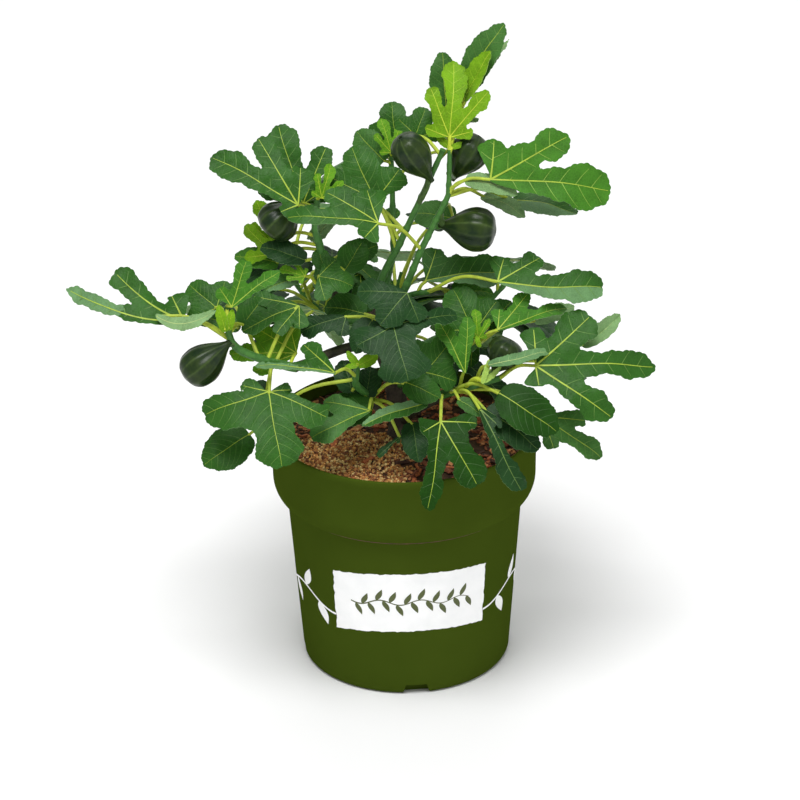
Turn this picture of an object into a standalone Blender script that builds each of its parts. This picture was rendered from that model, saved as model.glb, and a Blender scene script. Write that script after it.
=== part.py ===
"""A young fig tree in a nursery pot.

The pot stands on its flat underside with its axis on the Z axis, and the front faces -Y.
The pot, the soil, the trunk, each bough and each mass of leaves is one closed solid.
"""

import math
import random
from typing import NamedTuple

import bmesh
import bpy
from mathutils import Matrix, Vector
from mathutils.bvhtree import BVHTree
from mathutils.geometry import delaunay_2d_cdt

MM = 0.001
GAP = 0.3 * MM
MERGE = 0.01 * MM

# Pot, turned round the Z axis
POT_HEIGHT = 230 * MM
RIM_RADIUS = 121.4 * MM
STEP_RADIUS = 107.7 * MM
STEP_HEIGHT = 162 * MM
RIM_CURVE_HEIGHT = 20 * MM
RIM_CURVE_RADIUS = 120.3 * MM
RIM_CURVE_TURN = -75
RIM_CURVE_STEPS = 4
STEP_SLOPE = 2 * MM
BASE_RADIUS = 96 * MM
BASE_ROUNDING = 5.5 * MM
BASE_STEPS = 3
WALL = 2 * MM
FLOOR = 11 * MM
INNER_CHAMFER = 10 * MM
CHAMFER_WIDENING = 2 * MM
POT_STEPS = 48

# Drain notches in the pot's lower edge
NOTCH_COUNT = 4
NOTCH_WIDTH = 25 * MM
NOTCH_HEIGHT = 7.5 * MM
NOTCH_DEPTH = 9 * MM
NOTCH_TURN = math.radians(5)

# Soil, with a flat middle for the trunk to stand on
SOIL_TOP = 218 * MM
SOIL_EDGE = 214 * MM
SOIL_FLAT_RADIUS = 30 * MM

# Trunk, leaning from the soil to the cut top where the highest boughs leave it
TRUNK_FOOT = Vector((-1.7, 0, 0)) * MM
TRUNK_TOP = Vector((-31.7, 0, 342)) * MM
TRUNK_BOW = Vector((5, 5, 0)) * MM
TRUNK_FOOT_RADIUS = 9.5 * MM
TRUNK_TOP_RADIUS = 7 * MM
FLARE = 5.5 * MM
FLARE_SHARE = 0.16
TRUNK_RINGS = 9
TRUNK_BELOW = 6 * MM

# The front view that places what shows there: looking down on the plant from far off. The
# distance and the middle are in mm, as are all places given as seen (across, up, deep).
VIEW_RISE = math.radians(25.75)
VIEW_ROLL = math.radians(0.76)
VIEW_DISTANCE = 3000
VIEW_MIDDLE = Vector((-3.1, 0, 252.7))

# Leaves and their stalks
LEAF_THICKNESS = 1.7 * MM
FLAT_ANGLE = math.radians(1)
STALK_HALF = 1.3 * MM
STALK_RISE = 0.14
STALK_RINGS = 1
ARCH = 0.22
SIDE_DROOP = 0.30

# Leaf outlines: lobes from left to right as (turn in degrees, reach, half width), with the
# reach of the notch between each two, all as shares of the leaf's length
FORMS = {
    "plain_five": (
        ((-92, 0.34, 0.14), (-40, 0.74, 0.17), (0, 1, 0.15), (40, 0.74, 0.17), (92, 0.34, 0.14)),
        (0.27, 0.40, 0.40, 0.27),
    ),
    "broad_five": (
        ((-98, 0.44, 0.20), (-50, 0.82, 0.23), (0, 1, 0.24), (50, 0.82, 0.23), (98, 0.44, 0.20)),
        (0.40, 0.56, 0.56, 0.40),
    ),
    "young_five": (
        ((-76, 0.33, 0.09), (-27, 0.69, 0.12), (0, 1, 0.19), (37, 0.76, 0.12), (75, 0.31, 0.09)),
        (0.31, 0.39, 0.39, 0.26),
    ),
    "uneven_five": (
        ((-70, 0.42, 0.16), (-33, 0.62, 0.16), (0, 1, 0.17), (39, 0.75, 0.13)),
        (0.40, 0.50, 0.50),
    ),
    "wide_five": (
        ((-88, 0.30, 0.12), (-55, 0.78, 0.21), (0, 1, 0.35), (79, 0.90, 0.22), (122, 0.30, 0.10)),
        (0.38, 0.51, 0.54, 0.40),
    ),
    "low_right_five": (
        ((-87, 0.30, 0.09), (-43, 0.65, 0.15), (0, 1, 0.12), (34, 0.72, 0.12), (80, 0.16, 0.08)),
        (0.27, 0.39, 0.43, 0.15),
    ),
    "drooping_five": (
        ((-95, 0.42, 0.10), (-32, 0.85, 0.19), (0, 1, 0.11), (60, 0.30, 0.20)),
        (0.33, 0.48, 0.30),
    ),
    "plain_three": (
        ((-52, 0.70, 0.17), (0, 1, 0.17), (52, 0.70, 0.17)),
        (0.40, 0.40),
    ),
    "far_left_three": (
        ((-70, 0.16, 0.07), (0, 1, 0.07), (23, 0.73, 0.12), (80, 0.26, 0.10)),
        (0.10, 0.46, 0.25),
    ),
    "high_left_three": (
        ((-60, 0.16, 0.08), (0, 1, 0.155), (25, 0.82, 0.14), (70, 0.60, 0.17)),
        (0.12, 0.48, 0.45),
    ),
    "high_left_five": (
        ((-45, 0.60, 0.16), (0, 1, 0.20), (40, 0.75, 0.13), (75, 0.30, 0.12)),
        (0.50, 0.42, 0.30),
    ),
    "high_right_three": (
        ((-92, 0.32, 0.12), (-34, 0.71, 0.12), (0, 1, 0.19)),
        (0.29, 0.40),
    ),
    "mid_right_three": (
        ((-72, 0.30, 0.12), (-34, 0.48, 0.13), (0, 1, 0.145)),
        (0.30, 0.40),
    ),
    "level_three": (
        ((0, 1, 0.13), (28, 0.68, 0.14), (66, 0.42, 0.17)),
        (0.52, 0.50),
    ),
    "pale_three": (
        ((-30, 0.62, 0.13), (0, 1, 0.14), (40, 0.50, 0.11)),
        (0.45, 0.44),
    ),
    "bright_three": (
        ((-77, 0.38, 0.12), (-28, 0.83, 0.14), (0, 1, 0.13)),
        (0.27, 0.50),
    ),
    "light_three": (
        ((-60, 0.30, 0.08), (-24, 0.68, 0.13), (0, 1, 0.11)),
        (0.35, 0.54),
    ),
    "round_three": (
        ((-40, 0.86, 0.25), (0, 1, 0.30), (62, 0.68, 0.24)),
        (0.88, 0.72),
    ),
    "dark_three": (
        ((-92, 1.12, 0.13), (0, 1, 0.44), (74, 0.66, 0.25)),
        (0.36, 0.52),
    ),
    "wide_three": (
        ((-112, 0.60, 0.22), (-52, 0.86, 0.24), (0, 1, 0.26)),
        (0.62, 0.80),
    ),
    "forked": (
        ((0, 1, 0.14), (25, 0.93, 0.13)),
        (0.62,),
    ),
    "arched": (
        ((-62, 0.46, 0.16), (0, 1, 0.22)),
        (0.48,),
    ),
    "broad": (
        ((-62, 0.78, 0.27), (0, 1, 0.33), (62, 0.78, 0.27)),
        (0.70, 0.70),
    ),
    "oval": (((0, 1, 0.38),), ()),
    "slim": (((0, 1, 0.20),), ()),
}

# Corners of a lobe as (share of its reach, share of its half width)
MAIN_SPOTS = ((0.65, -1.06), (0.91, -0.78), (1.01, 0), (0.91, 0.78), (0.65, 1.06))
SIDE_SPOTS = ((0.72, -1.08), (1.02, 0), (0.72, 1.08))
OVAL_SPOTS = (
    (0.04, -0.62),
    (0.34, -1.05),
    (0.77, -0.86),
    (1.01, 0),
    (0.77, 0.86),
    (0.34, 1.05),
    (0.04, 0.62),
)
MIDRIB_SHARES = (0.1, 0.5)


class Bough(NamedTuple):
    """A limb: the share of the trunk where it leaves, its end radii in mm, and its way as seen."""

    at: float
    foot: float
    tip: float
    way: tuple


class Mass(NamedTuple):
    """A mass of leaves: its stem's way as seen, its end radius, and how many leaves fill it."""

    way: tuple
    tip: float
    filling: int


class Leaf(NamedTuple):
    """A leaf that shows from the front.

    It leaves its stem at a share of it. Its foot and tip are as seen from the front, its upper
    face looks the way of the turn and the lift, and each half folds up by an angle in degrees.
    """

    at: float
    form: str
    foot: tuple
    deep: float
    tip: tuple
    turn: float
    lift: float
    left: float = 8
    right: float = 8


class Fig(NamedTuple):
    """A fig: the share of the stem where it leaves, its two ends as seen, and its radius in mm."""

    at: float
    neck: tuple
    deep: float
    end: tuple
    end_deep: float
    radius: float


BOUGHS = {
    "top": Bough(0.70, 4.4, 3.6, ((5, 102, -16), (16, 129, -20))),
    "second": Bough(0.98, 4.6, 3.8, ((-14, 116, -8), (-6, 131, -8))),
    "back_top": Bough(0.90, 4.2, 3.4, ((-12, 108, 26), (-7, 129, 32))),
    "upper_left": Bough(0.72, 5.0, 3.8, ((-52, 90, -10), (-71, 102, -8))),
    "left": Bough(0.66, 4.8, 4.0, ((-45, 48, -25), (-91, 31, -60))),
    "front": Bough(0.21, 4.6, 3.8, ((-14, -12, -35), (-25, 0, -45))),
    "centre": Bough(0.56, 4.0, 3.4, ((-11, 54, -22), (-7, 60, -38))),
    "mid_right": Bough(0.60, 4.2, 3.4, ((-6, 84, 14), (7, 94, 10))),
    "right": Bough(0.36, 4.6, 3.8, ((23, 25, -20), (50, 38, -35))),
    "right_low": Bough(0.09, 4.6, 4.0, ((18, -7, -30), (36, 3, -45))),
    "back_left": Bough(0.52, 4.6, 3.8, ((-40, 62, 40), (-62, 72, 62))),
    "back_right": Bough(0.44, 4.6, 3.8, ((22, 50, 40), (52, 62, 66))),
    "back": Bough(0.30, 4.4, 3.6, ((-12, 32, 42), (-8, 48, 72))),
}

MASSES = {
    "top": Mass(((44, 186, -16), (45, 227, -8)), 2.6, 5),
    "second": Mass(((18, 181, -14), (39, 227, -22)), 2.8, 5),
    "back_top": Mass(((-7, 190, 42), (-8, 224, 45)), 2.6, 5),
    "upper_left": Mass(((-72, 134, -8), (-77, 156, -6), (-75, 183, -4)), 2.6, 6),
    "left": Mass(((-125, 37, -66), (-152, 52, -70), (-157, 85, -70)), 2.8, 5),
    "front": Mass(((-40, 15, -62), (-38, 33, -66)), 2.6, 2),
    "centre": Mass(((-4, 67, -48), (0, 80, -52)), 2.6, 2),
    "mid_right": Mass(((16, 97, 4), (27, 98, 0)), 2.6, 3),
    "right": Mass(((61, 44, -40), (71, 50, -45)), 2.6, 3),
    "right_low": Mass(((59, 11, -55), (91, 20, -62)), 2.6, 4),
    "back_left": Mass(((-84, 92, 84), (-104, 118, 96)), 2.6, 14),
    "back_right": Mass(((76, 84, 88), (98, 108, 100)), 2.6, 14),
    "back": Mass(((-6, 78, 96), (2, 116, 112)), 2.6, 14),
}

LEAVES = {
    "top": (
        Leaf(1.00, "young_five", (45, 239), -6, (50, 307), 0, 30),
        Leaf(0.95, "slim", (70, 290), 22, (97, 343), -20, 15, 8, 20),
        Leaf(0.98, "oval", (61, 275), 10, (82, 317), -30, 10, 5, 60),
        Leaf(0.97, "oval", (37, 265), 26, (42, 314), 0, 15),
        Leaf(0.66, "high_right_three", (81, 200), -14, (190, 190), 5, 40, 6, 40),
        Leaf(0.62, "plain_three", (73, 186), 14, (161, 169), 0, 72),
        Leaf(0.50, "oval", (50, 164), 30, (11, 169), 0, 62, 5, 15),
        Leaf(0.08, "level_three", (-19, 160), -42, (-102, 166), 0, 55, 50, 8),
    ),
    "second": (
        Leaf(0.05, "round_three", (-22, 180), -8, (-44, 228), -5, 35, 6, 6),
        Leaf(0.95, "broad", (14, 239), 8, (23, 265), 5, 35, 6, 6),
    ),
    "back_top": (
        Leaf(0.98, "young_five", (-8, 225), 34, (-17, 255), -5, 30),
        Leaf(0.95, "broad", (-4, 236), 52, (-8, 270), 0, 30),
        Leaf(0.90, "oval", (-14, 216), 42, (-39, 243), -10, 30),
        Leaf(0.40, "oval", (-14, 168), 40, (0, 170), 10, 30),
    ),
    "upper_left": (
        Leaf(0.75, "high_left_three", (-93, 177), -22, (-171, 220), -5, 40, 12, 6),
        Leaf(0.85, "high_left_five", (-88, 177), -2, (-112, 248), 0, 35),
        Leaf(0.99, "young_five", (-71, 183), -14, (-63, 214), 10, 30),
        Leaf(0.60, "young_five", (-112, 140), 28, (-129, 181), -10, 20),
        Leaf(0.45, "oval", (-112, 124), 18, (-150, 130), 0, 50),
        Leaf(0.30, "oval", (-89, 126), -20, (-125, 137), 0, 62, 6, 20),
        Leaf(0.35, "oval", (-69, 118), -22, (-74, 137), 0, 50, 12, 12),
        Leaf(0.35, "oval", (-51, 116), -14, (-34, 143), 10, 45, 12, 12),
        Leaf(0.02, "broad", (-74, 112), -34, (-43, 104), 10, 55, 12, 5),
        Leaf(0.15, "oval", (-53, 113), 4, (-21, 140), 20, 60, 10, 10),
        Leaf(0.05, "young_five", (-88, 112), -24, (-108, 118), -10, 40, 10, 10),
        Leaf(0.10, "oval", (-88, 109), -6, (-122, 98), -10, 62, 5, 15),
    ),
    "left": (
        Leaf(0.68, "far_left_three", (-197, 72), -66, (-303, 103), -5, 45, 8, 6),
        Leaf(0.90, "broad", (-166, 83), -48, (-191, 104), -10, 45, 6, 6),
        Leaf(1.00, "bright_three", (-153, 85), -76, (-112, 120), 0, 35, 12, 12),
        Leaf(0.75, "slim", (-145, 65), -46, (-190, 77), 0, 60, 5, 5),
        Leaf(0.80, "broad", (-143, 67), -52, (-131, 95), 5, 40),
        Leaf(0.30, "uneven_five", (-92, 85), -42, (-143, 62), -10, 50),
        Leaf(0.10, "broad_five", (-93, 40), -46, (-153, 42), -5, 40, 6, 6),
        Leaf(0.25, "wide_five", (-119, 7), -92, (-108, -61), 0, 45, 6, 6),
    ),
    "front": (
        Leaf(0.70, "oval", (-136, -34), -74, (-176, -59), -10, 45),
        Leaf(0.75, "arched", (-58, 24), -98, (-130, 36), 0, 60, 5, 30),
        Leaf(0.02, "oval", (-25, -10), -66, (-71, -10), -5, 60),
        Leaf(0.02, "broad", (-20, -12), -80, (-81, -30), -10, 55),
        Leaf(0.03, "oval", (5, 16), -72, (36, 2), 0, 45, 5, 5),
    ),
    "centre": (
        Leaf(0.50, "dark_three", (-6, 67), -76, (7, 17), 0, 45, 5, 5),
        Leaf(1.00, "wide_three", (7, 97), -60, (-38, 98), -5, 45, 6, 6),
        Leaf(0.10, "oval", (-31, 78), -30, (-68, 85), -5, 50, 6, 14),
        Leaf(0.10, "broad", (-49, 76), -42, (-91, 54), -10, 45),
        Leaf(0.30, "oval", (-25, 73), -52, (-40, 43), -15, 40),
    ),
    "mid_right": (
        Leaf(0.90, "mid_right_three", (89, 107), -30, (183, 102), 5, 52, 5, 12),
        Leaf(0.50, "arched", (23, 108), 6, (92, 118), 5, 45, 5, 60),
        Leaf(0.95, "oval", (47, 98), 12, (84, 97), 10, 60),
    ),
    "right": (
        Leaf(0.05, "broad", (22, 25), -64, (47, 53), 15, 35),
        Leaf(0.98, "young_five", (71, 56), -52, (68, 82), 0, 30),
        Leaf(0.60, "broad", (67, 62), -34, (48, 101), -5, 40, 6, 6),
        Leaf(1.00, "light_three", (88, 63), -56, (149, 85), 10, 45, 6, 25),
        Leaf(0.70, "oval", (79, 65), -16, (101, 89), 10, 45, 6, 6),
        Leaf(0.90, "slim", (121, 71), -20, (158, 85), 15, 55, 6, 6),
    ),
    "right_low": (
        Leaf(1.00, "low_right_five", (122, 31), -80, (232, 32), 8, 42, 6, 6),
        Leaf(0.95, "slim", (165, 49), -44, (200, 77), 20, 10, 5, 60),
        Leaf(0.60, "slim", (88, 24), -92, (135, 40), 10, 80, 5, 5),
        Leaf(0.15, "oval", (90, 6), -98, (141, -29), 10, 45, 6, 6),
        Leaf(0.40, "pale_three", (129, -16), -70, (182, -52), 12, 45),
        Leaf(0.02, "slim", (27, -4), -84, (-34, -24), 5, 62, 30, 5),
        Leaf(0.05, "drooping_five", (37, -19), -112, (30, -99), 0, 38, 5, 30),
        Leaf(0.30, "slim", (73, -9), -104, (109, -85), 10, 38, 10, 10),
        Leaf(0.25, "oval", (77, -9), -92, (125, -45), 8, 50, 8, 8),
        Leaf(0.20, "oval", (53, 0), -84, (75, -15), 5, 55, 10, 10),
        Leaf(0.35, "forked", (59, 25), -72, (38, 74), -5, 30, 10, 10),
    ),
}

FIGS = {
    "top": (
        Fig(0.80, (48, 201), -4, (72, 239), -8, 16.5),
        Fig(0.44, (37, 159), -8, (87, 153), -16, 19.5),
    ),
    "second": (Fig(0.50, (28, 200), -24, (0, 238), -34, 16),),
    "upper_left": (Fig(0.62, (-80, 157), -8, (-125, 167), -4, 18),),
    "left": (Fig(0.62, (-155, 52), -72, (-195, 22), -78, 19),),
    "right_low": (Fig(0.62, (85, 25), -62, (101, 54), -58, 16),),
}

# Leaves that fill a mass out of sight of the front, by a seeded rule: lengths in mm and angles
# in degrees
FILL_SEED = 20
FILL_START = 0.1
FILL_SWAY = 0.5
GOLDEN_TURN = math.radians(137.5)
FILL_TRIES = 60
FILL_STALK = (22, 85)
FILL_LENGTH = (46, 94)
FILL_STALK_RISE = (5, 60)
FILL_LIFT = (35, 78)
FILL_FOLD = (2, 14)
FILL_FORMS = ("broad_five", "plain_three", "plain_five", "broad", "oval")
HIDDEN_SHARE = 0.85

# The crown's dense middle as seen from the front, and the windows in it where the light shows
DENSE_MIDDLE = (0, 52)
DENSE_REACH = (150, 62)
DENSE_DEPTH = 5 * MM
WINDOWS = (((-68, 52), 24), ((-84, 104), 14), ((60, 28), 12), ((-104, 26), 14), ((112, 58), 12))

# How finely the round pieces are cut
TRUNK_SIDES = 4
BOUGH_SIDES = 2
STEM_SIDES = 1
BOUGH_RINGS = 2
SHARP_ANGLE = math.radians(40)

# Figs: a ball drawn out to a pear, and the neck that holds it
FIG_SIDES = 9
FIG_RINGS = 7
FIG_SWELL = 0.8
FIG_SQUEEZE = 0.75
FIG_NECK = 0.2
FIG_NECK_SUNK = 0.3

# Stems go straight on from their boughs, and a blade's corner counts as hidden from this near
STEM_LEAD = 5 * MM
HIDDEN_MARGIN = 4 * MM

# Colour and roughness of each material
LOOKS = {
    "pot": ((0.045, 0.07, 0.008), 0.45),
    "soil": ((0.16, 0.075, 0.03), 0.95),
    "trunk": ((0.09, 0.07, 0.05), 0.85),
    "bough": ((0.07, 0.19, 0.05), 0.6),
    "leaves": ((0.06, 0.19, 0.045), 0.55),
}


def clear_scene():
    """Remove every object of the open scene."""
    for thing in list(bpy.data.objects):
        bpy.data.objects.remove(thing, do_unlink=True)


def new_collection(name):
    """A collection linked to the scene."""
    collection = bpy.data.collections.new(name)
    bpy.context.scene.collection.children.link(collection)
    return collection


def principled(name, colour, roughness):
    """A Principled material of one colour."""
    material = bpy.data.materials.new(name)
    material.use_nodes = True
    shader = material.node_tree.nodes["Principled BSDF"]
    shader.inputs["Base Color"].default_value = (*colour, 1)
    shader.inputs["Roughness"].default_value = roughness
    return material


def seen(across, up, deep):
    """The point at a depth behind the pot's axis that shows at (across, up) from the front."""
    cos_roll = math.cos(VIEW_ROLL)
    sin_roll = math.sin(VIEW_ROLL)
    right = across * cos_roll + up * sin_roll
    above = up * cos_roll - across * sin_roll
    upward = Vector((0, math.sin(VIEW_RISE), math.cos(VIEW_RISE)))
    toward = Vector((0, -math.cos(VIEW_RISE), math.sin(VIEW_RISE)))
    eye = VIEW_MIDDLE + toward * VIEW_DISTANCE
    spot = VIEW_MIDDLE + Vector((right, 0, 0)) + upward * above
    share = (deep - eye.y) / (spot.y - eye.y)
    return (eye + (spot - eye) * share) * MM


def eye_point():
    """The far point that the front view looks from."""
    toward = Vector((0, -math.cos(VIEW_RISE), math.sin(VIEW_RISE)))
    return (VIEW_MIDDLE + toward * VIEW_DISTANCE) * MM


def facing(turn, lift):
    """The direction turned from the front towards +X, and lifted from level, in degrees."""
    turn = math.radians(turn)
    lift = math.radians(lift)
    level = math.cos(lift)
    return Vector((math.sin(turn) * level, -math.cos(turn) * level, math.sin(lift)))


def seen_on_plane(across, up, point, normal):
    """The point of a plane that shows at (across, up) from the front."""
    eye = eye_point()
    ray = seen(across, up, 0) - eye
    return eye + ray * ((point - eye).dot(normal) / ray.dot(normal))


def smooth_path(points, steps):
    """Points along a smooth curve through the given ones."""
    padded = [2 * points[0] - points[1], *points, 2 * points[-1] - points[-2]]
    path = []
    for before, start, end, after in zip(padded, padded[1:], padded[2:], padded[3:]):
        for step in range(steps):
            t = step / steps
            bend = 2 * before - 5 * start + 4 * end - after
            twist = 3 * start - before - 3 * end + after
            path.append(0.5 * (2 * start + (end - before) * t + bend * t**2 + twist * t**3))
    path.append(points[-1])
    return path


def point_at(path, share):
    """The point at a share of a path's length."""
    lengths = [(b - a).length for a, b in zip(path, path[1:])]
    left = share * sum(lengths)
    for a, b, length in zip(path, path[1:], lengths):
        if left <= length:
            return a.lerp(b, left / length)
        left -= length
    return path[-1].copy()


def smooth(mesh):
    """Shade a mesh smooth between its sharp edges."""
    mesh.shade_smooth()
    mesh.set_sharp_from_angle(angle=SHARP_ANGLE)


def tube(name, path, radii, sides):
    """A tapering tube along a path, as a mesh object with closed ends."""
    curve = bpy.data.curves.new(name, "CURVE")
    curve.dimensions = "3D"
    curve.bevel_depth = 1
    curve.bevel_resolution = sides
    curve.use_fill_caps = True
    spline = curve.splines.new("POLY")
    spline.points.add(len(path) - 1)
    for spot, place, radius in zip(spline.points, path, radii):
        spot.co = (*place, 1)
        spot.radius = radius
    guide = bpy.data.objects.new(name + "_curve", curve)
    mesh = bpy.data.meshes.new_from_object(guide)
    bpy.data.objects.remove(guide, do_unlink=True)
    shape = bmesh.new()
    shape.from_mesh(mesh)
    bmesh.ops.remove_doubles(shape, verts=shape.verts, dist=MERGE)
    bmesh.ops.recalc_face_normals(shape, faces=shape.faces)
    shape.to_mesh(mesh)
    shape.free()
    smooth(mesh)
    return bpy.data.objects.new(name, mesh)


def taper(count, foot, tip):
    """Radii that fall evenly from foot to tip."""
    return [foot + (tip - foot) * step / (count - 1) for step in range(count)]


def turned(name, profile, steps):
    """A solid turned round the Z axis from a profile of (radius, height)."""
    mesh = bpy.data.meshes.new(name)
    points = [(radius, 0, height) for radius, height in profile]
    mesh.from_pydata(points, [(i, i + 1) for i in range(len(points) - 1)], [])
    guide = bpy.data.objects.new(name + "_profile", mesh)
    screw = guide.modifiers.new("turn", "SCREW")
    screw.steps = steps
    screw.render_steps = steps
    screw.use_merge_vertices = True
    screw.merge_threshold = MERGE
    bpy.context.scene.collection.objects.link(guide)
    solid = evaluated_copy(guide, name)
    smooth(solid.data)
    discard([guide])
    return solid


def arc(centre, radii, start, end, steps):
    """Points of an elliptic arc as (radius, height), with angles in degrees."""
    points = []
    for step in range(steps + 1):
        angle = math.radians(start + (end - start) * step / steps)
        radius = centre[0] + radii[0] * math.cos(angle)
        points.append((radius, centre[1] + radii[1] * math.sin(angle)))
    return points


def pot_side(inset):
    """The pot's side from under the lip to its lower edge, set in by some way."""
    curve_top = STEP_HEIGHT + RIM_CURVE_HEIGHT
    curve_width = RIM_CURVE_RADIUS - STEP_RADIUS
    side = [(RIM_RADIUS - inset, POT_HEIGHT)]
    centre = (STEP_RADIUS - inset, curve_top)
    side += arc(centre, (curve_width, RIM_CURVE_HEIGHT), 0, RIM_CURVE_TURN, RIM_CURVE_STEPS)
    side.append((STEP_RADIUS - inset, STEP_HEIGHT - STEP_SLOPE))
    return side


def pot_floor(inset, lift):
    """The corner round a level floor, set in from the pot's outer side and lifted some way."""
    flat = (BASE_RADIUS - BASE_ROUNDING, FLOOR + lift)
    return [flat, (BASE_RADIUS + CHAMFER_WIDENING - inset, FLOOR + INNER_CHAMFER + lift)]


def make_pot(collection, cutters):
    """The pot: a cup with a stepped rim, a rounded lower edge and drain notches."""
    inner = [(0, FLOOR), *pot_floor(WALL, 0), *pot_side(WALL)[::-1]]
    centre = (BASE_RADIUS - BASE_ROUNDING, BASE_ROUNDING)
    foot = arc(centre, (BASE_ROUNDING, BASE_ROUNDING), 0, -90, BASE_STEPS)
    pot = turned("pot", [*inner, *pot_side(0), *foot, (0, 0)], POT_STEPS)
    collection.objects.link(pot)
    for index in range(NOTCH_COUNT):
        turn = NOTCH_TURN + index * math.tau / NOTCH_COUNT
        notch = make_notch(f"notch_{index + 1}", turn)
        cutters.objects.link(notch)
        cut = pot.modifiers.new(notch.name, "BOOLEAN")
        cut.operation = "DIFFERENCE"
        cut.object = notch
    return pot


def make_notch(name, turn):
    """A cutter for one drain notch, at an angle from the front."""
    shape = bmesh.new()
    bmesh.ops.create_cube(shape, size=1)
    mesh = bpy.data.meshes.new(name)
    size = Matrix.Diagonal((NOTCH_WIDTH, 2 * NOTCH_DEPTH, 2 * NOTCH_HEIGHT, 1))
    shape.transform(Matrix.Rotation(turn, 4, "Z") @ Matrix.Translation((0, -BASE_RADIUS, 0)) @ size)
    shape.to_mesh(mesh)
    shape.free()
    return as_cutter(bpy.data.objects.new(name, mesh))


def as_cutter(thing):
    """Mark an object as a cutter."""
    thing.hide_render = True
    thing.display_type = "WIRE"
    return thing


def make_soil(collection):
    """The soil that fills the pot, clear of its wall."""
    inset = WALL + GAP
    side = pot_side(inset)
    rim, below = side[:2]
    share = (SOIL_EDGE - below[1]) / (rim[1] - below[1])
    edge = (below[0] + (rim[0] - below[0]) * share, SOIL_EDGE)
    top = [(0, SOIL_TOP), (SOIL_FLAT_RADIUS, SOIL_TOP), edge]
    low = [*pot_floor(inset, GAP)[::-1], (0, FLOOR + GAP)]
    soil = turned("soil", [*top, *side[1:], *low], POT_STEPS)
    collection.objects.link(soil)
    return soil


def trunk_path(extra=0):
    """The trunk's middle line, bowed between its foot and its top, and run on past its top."""
    foot = TRUNK_FOOT + Vector((0, 0, SOIL_TOP + GAP))
    path = []
    for step in range(TRUNK_RINGS):
        share = step / (TRUNK_RINGS - 1)
        path.append(foot.lerp(TRUNK_TOP, share) + TRUNK_BOW * math.sin(math.pi * share))
    path[-1] += (path[-1] - path[-2]).normalized() * extra
    return path


def trunk_radii(extra):
    """The trunk's radii with its root flare, swollen by some way."""
    radii = []
    even = taper(TRUNK_RINGS, TRUNK_FOOT_RADIUS, TRUNK_TOP_RADIUS)
    for step, radius in enumerate(even):
        share = step / (TRUNK_RINGS - 1)
        flare = FLARE * max(0, 1 - share / FLARE_SHARE) ** 2
        radii.append(radius + flare + extra)
    return radii


def make_trunk(collection):
    """The trunk, from its flat foot on the soil to its cut top."""
    path = trunk_path()
    path[0] -= Vector((0, 0, TRUNK_BELOW))
    trunk = tube("trunk", path, trunk_radii(0), TRUNK_SIDES)
    cut_level(trunk, SOIL_TOP + GAP)
    smooth(trunk.data)
    collection.objects.link(trunk)
    return trunk


def cut_level(solid, height):
    """Cut what a solid has below a height, and close the cut."""
    shape = bmesh.new()
    shape.from_mesh(solid.data)
    everything = [*shape.verts, *shape.edges, *shape.faces]
    plane = {"plane_co": (0, 0, height), "plane_no": (0, 0, 1)}
    cut = bmesh.ops.bisect_plane(shape, geom=everything, clear_inner=True, **plane)
    edges = [part for part in cut["geom_cut"] if isinstance(part, bmesh.types.BMEdge)]
    bmesh.ops.contextual_create(shape, geom=edges)
    bmesh.ops.recalc_face_normals(shape, faces=shape.faces)
    shape.to_mesh(solid.data)
    shape.free()


def make_bough(name, bough, clearance, collection):
    """One bough, cut clear of the trunk, with its path."""
    start = point_at(trunk_path(), bough.at)
    path = smooth_path([start, *(seen(*spot) for spot in bough.way)], BOUGH_RINGS)
    radii = taper(len(path), bough.foot * MM, bough.tip * MM)
    limb = tube(name, path, radii, BOUGH_SIDES)
    cut = limb.modifiers.new("trunk_clearance", "BOOLEAN")
    cut.operation = "DIFFERENCE"
    cut.object = clearance
    collection.objects.link(limb)
    return limb, path


def lobe_points(lobe, spots):
    """The outline points of one lobe."""
    turn, reach, half = lobe
    angle = math.radians(turn)
    along = Vector((math.sin(angle), math.cos(angle))) * reach
    across = Vector((math.cos(angle), -math.sin(angle))) * half
    return [along * out + across * side for out, side in spots]


def outline(form, foot_half):
    """A leaf's outline from its foot's two corners round its lobes, for a length of 1."""
    lobes, notches = FORMS[form]
    points = [Vector((foot_half, 0)), Vector((-foot_half, 0))]
    for index, lobe in enumerate(lobes):
        spots = SIDE_SPOTS
        if lobe[0] == 0:
            spots = MAIN_SPOTS if notches else OVAL_SPOTS
        points += lobe_points(lobe, spots)
        if index < len(notches):
            angle = math.radians((lobe[0] + lobes[index + 1][0]) / 2)
            points.append(Vector((math.sin(angle), math.cos(angle))) * notches[index])
    return points


def blade_faces(form, foot_half):
    """The flat blade's points and triangles, with the midrib as edges."""
    rim = outline(form, foot_half)
    ribs = [Vector((0, share)) for share in MIDRIB_SHARES]
    tip = max(range(len(rim)), key=lambda index: rim[index].y - 10 * abs(rim[index].x))
    count = len(rim)
    chain = [*range(count, count + len(ribs)), tip]
    edges = list(zip(chain, chain[1:]))
    points, _, faces, *_ = delaunay_2d_cdt(rim + ribs, edges, [list(range(count))], 1, 1e-5)
    return points, faces


def bend(point, left, right):
    """A flat blade's point folded at the midrib, arched along it and drooping at its sides."""
    fold = math.radians(right if point.x > 0 else left)
    width = abs(point.x)
    rise = width * math.sin(fold) + ARCH * point.y * (1 - point.y) - SIDE_DROOP * width**2
    return Vector((point.x * math.cos(fold), point.y, rise))


def leaf_matrix(foot, tip, normal):
    """Places a blade of length 1 from its foot to its tip with its upper face to the normal."""
    along = tip - foot
    length = along.length
    along.normalize()
    above = (normal - along * normal.dot(along)).normalized()
    side = along.cross(above)
    turn = Matrix((side, along, above)).transposed().to_4x4()
    return Matrix.Translation(foot) @ turn @ Matrix.Scale(length, 4)


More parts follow.
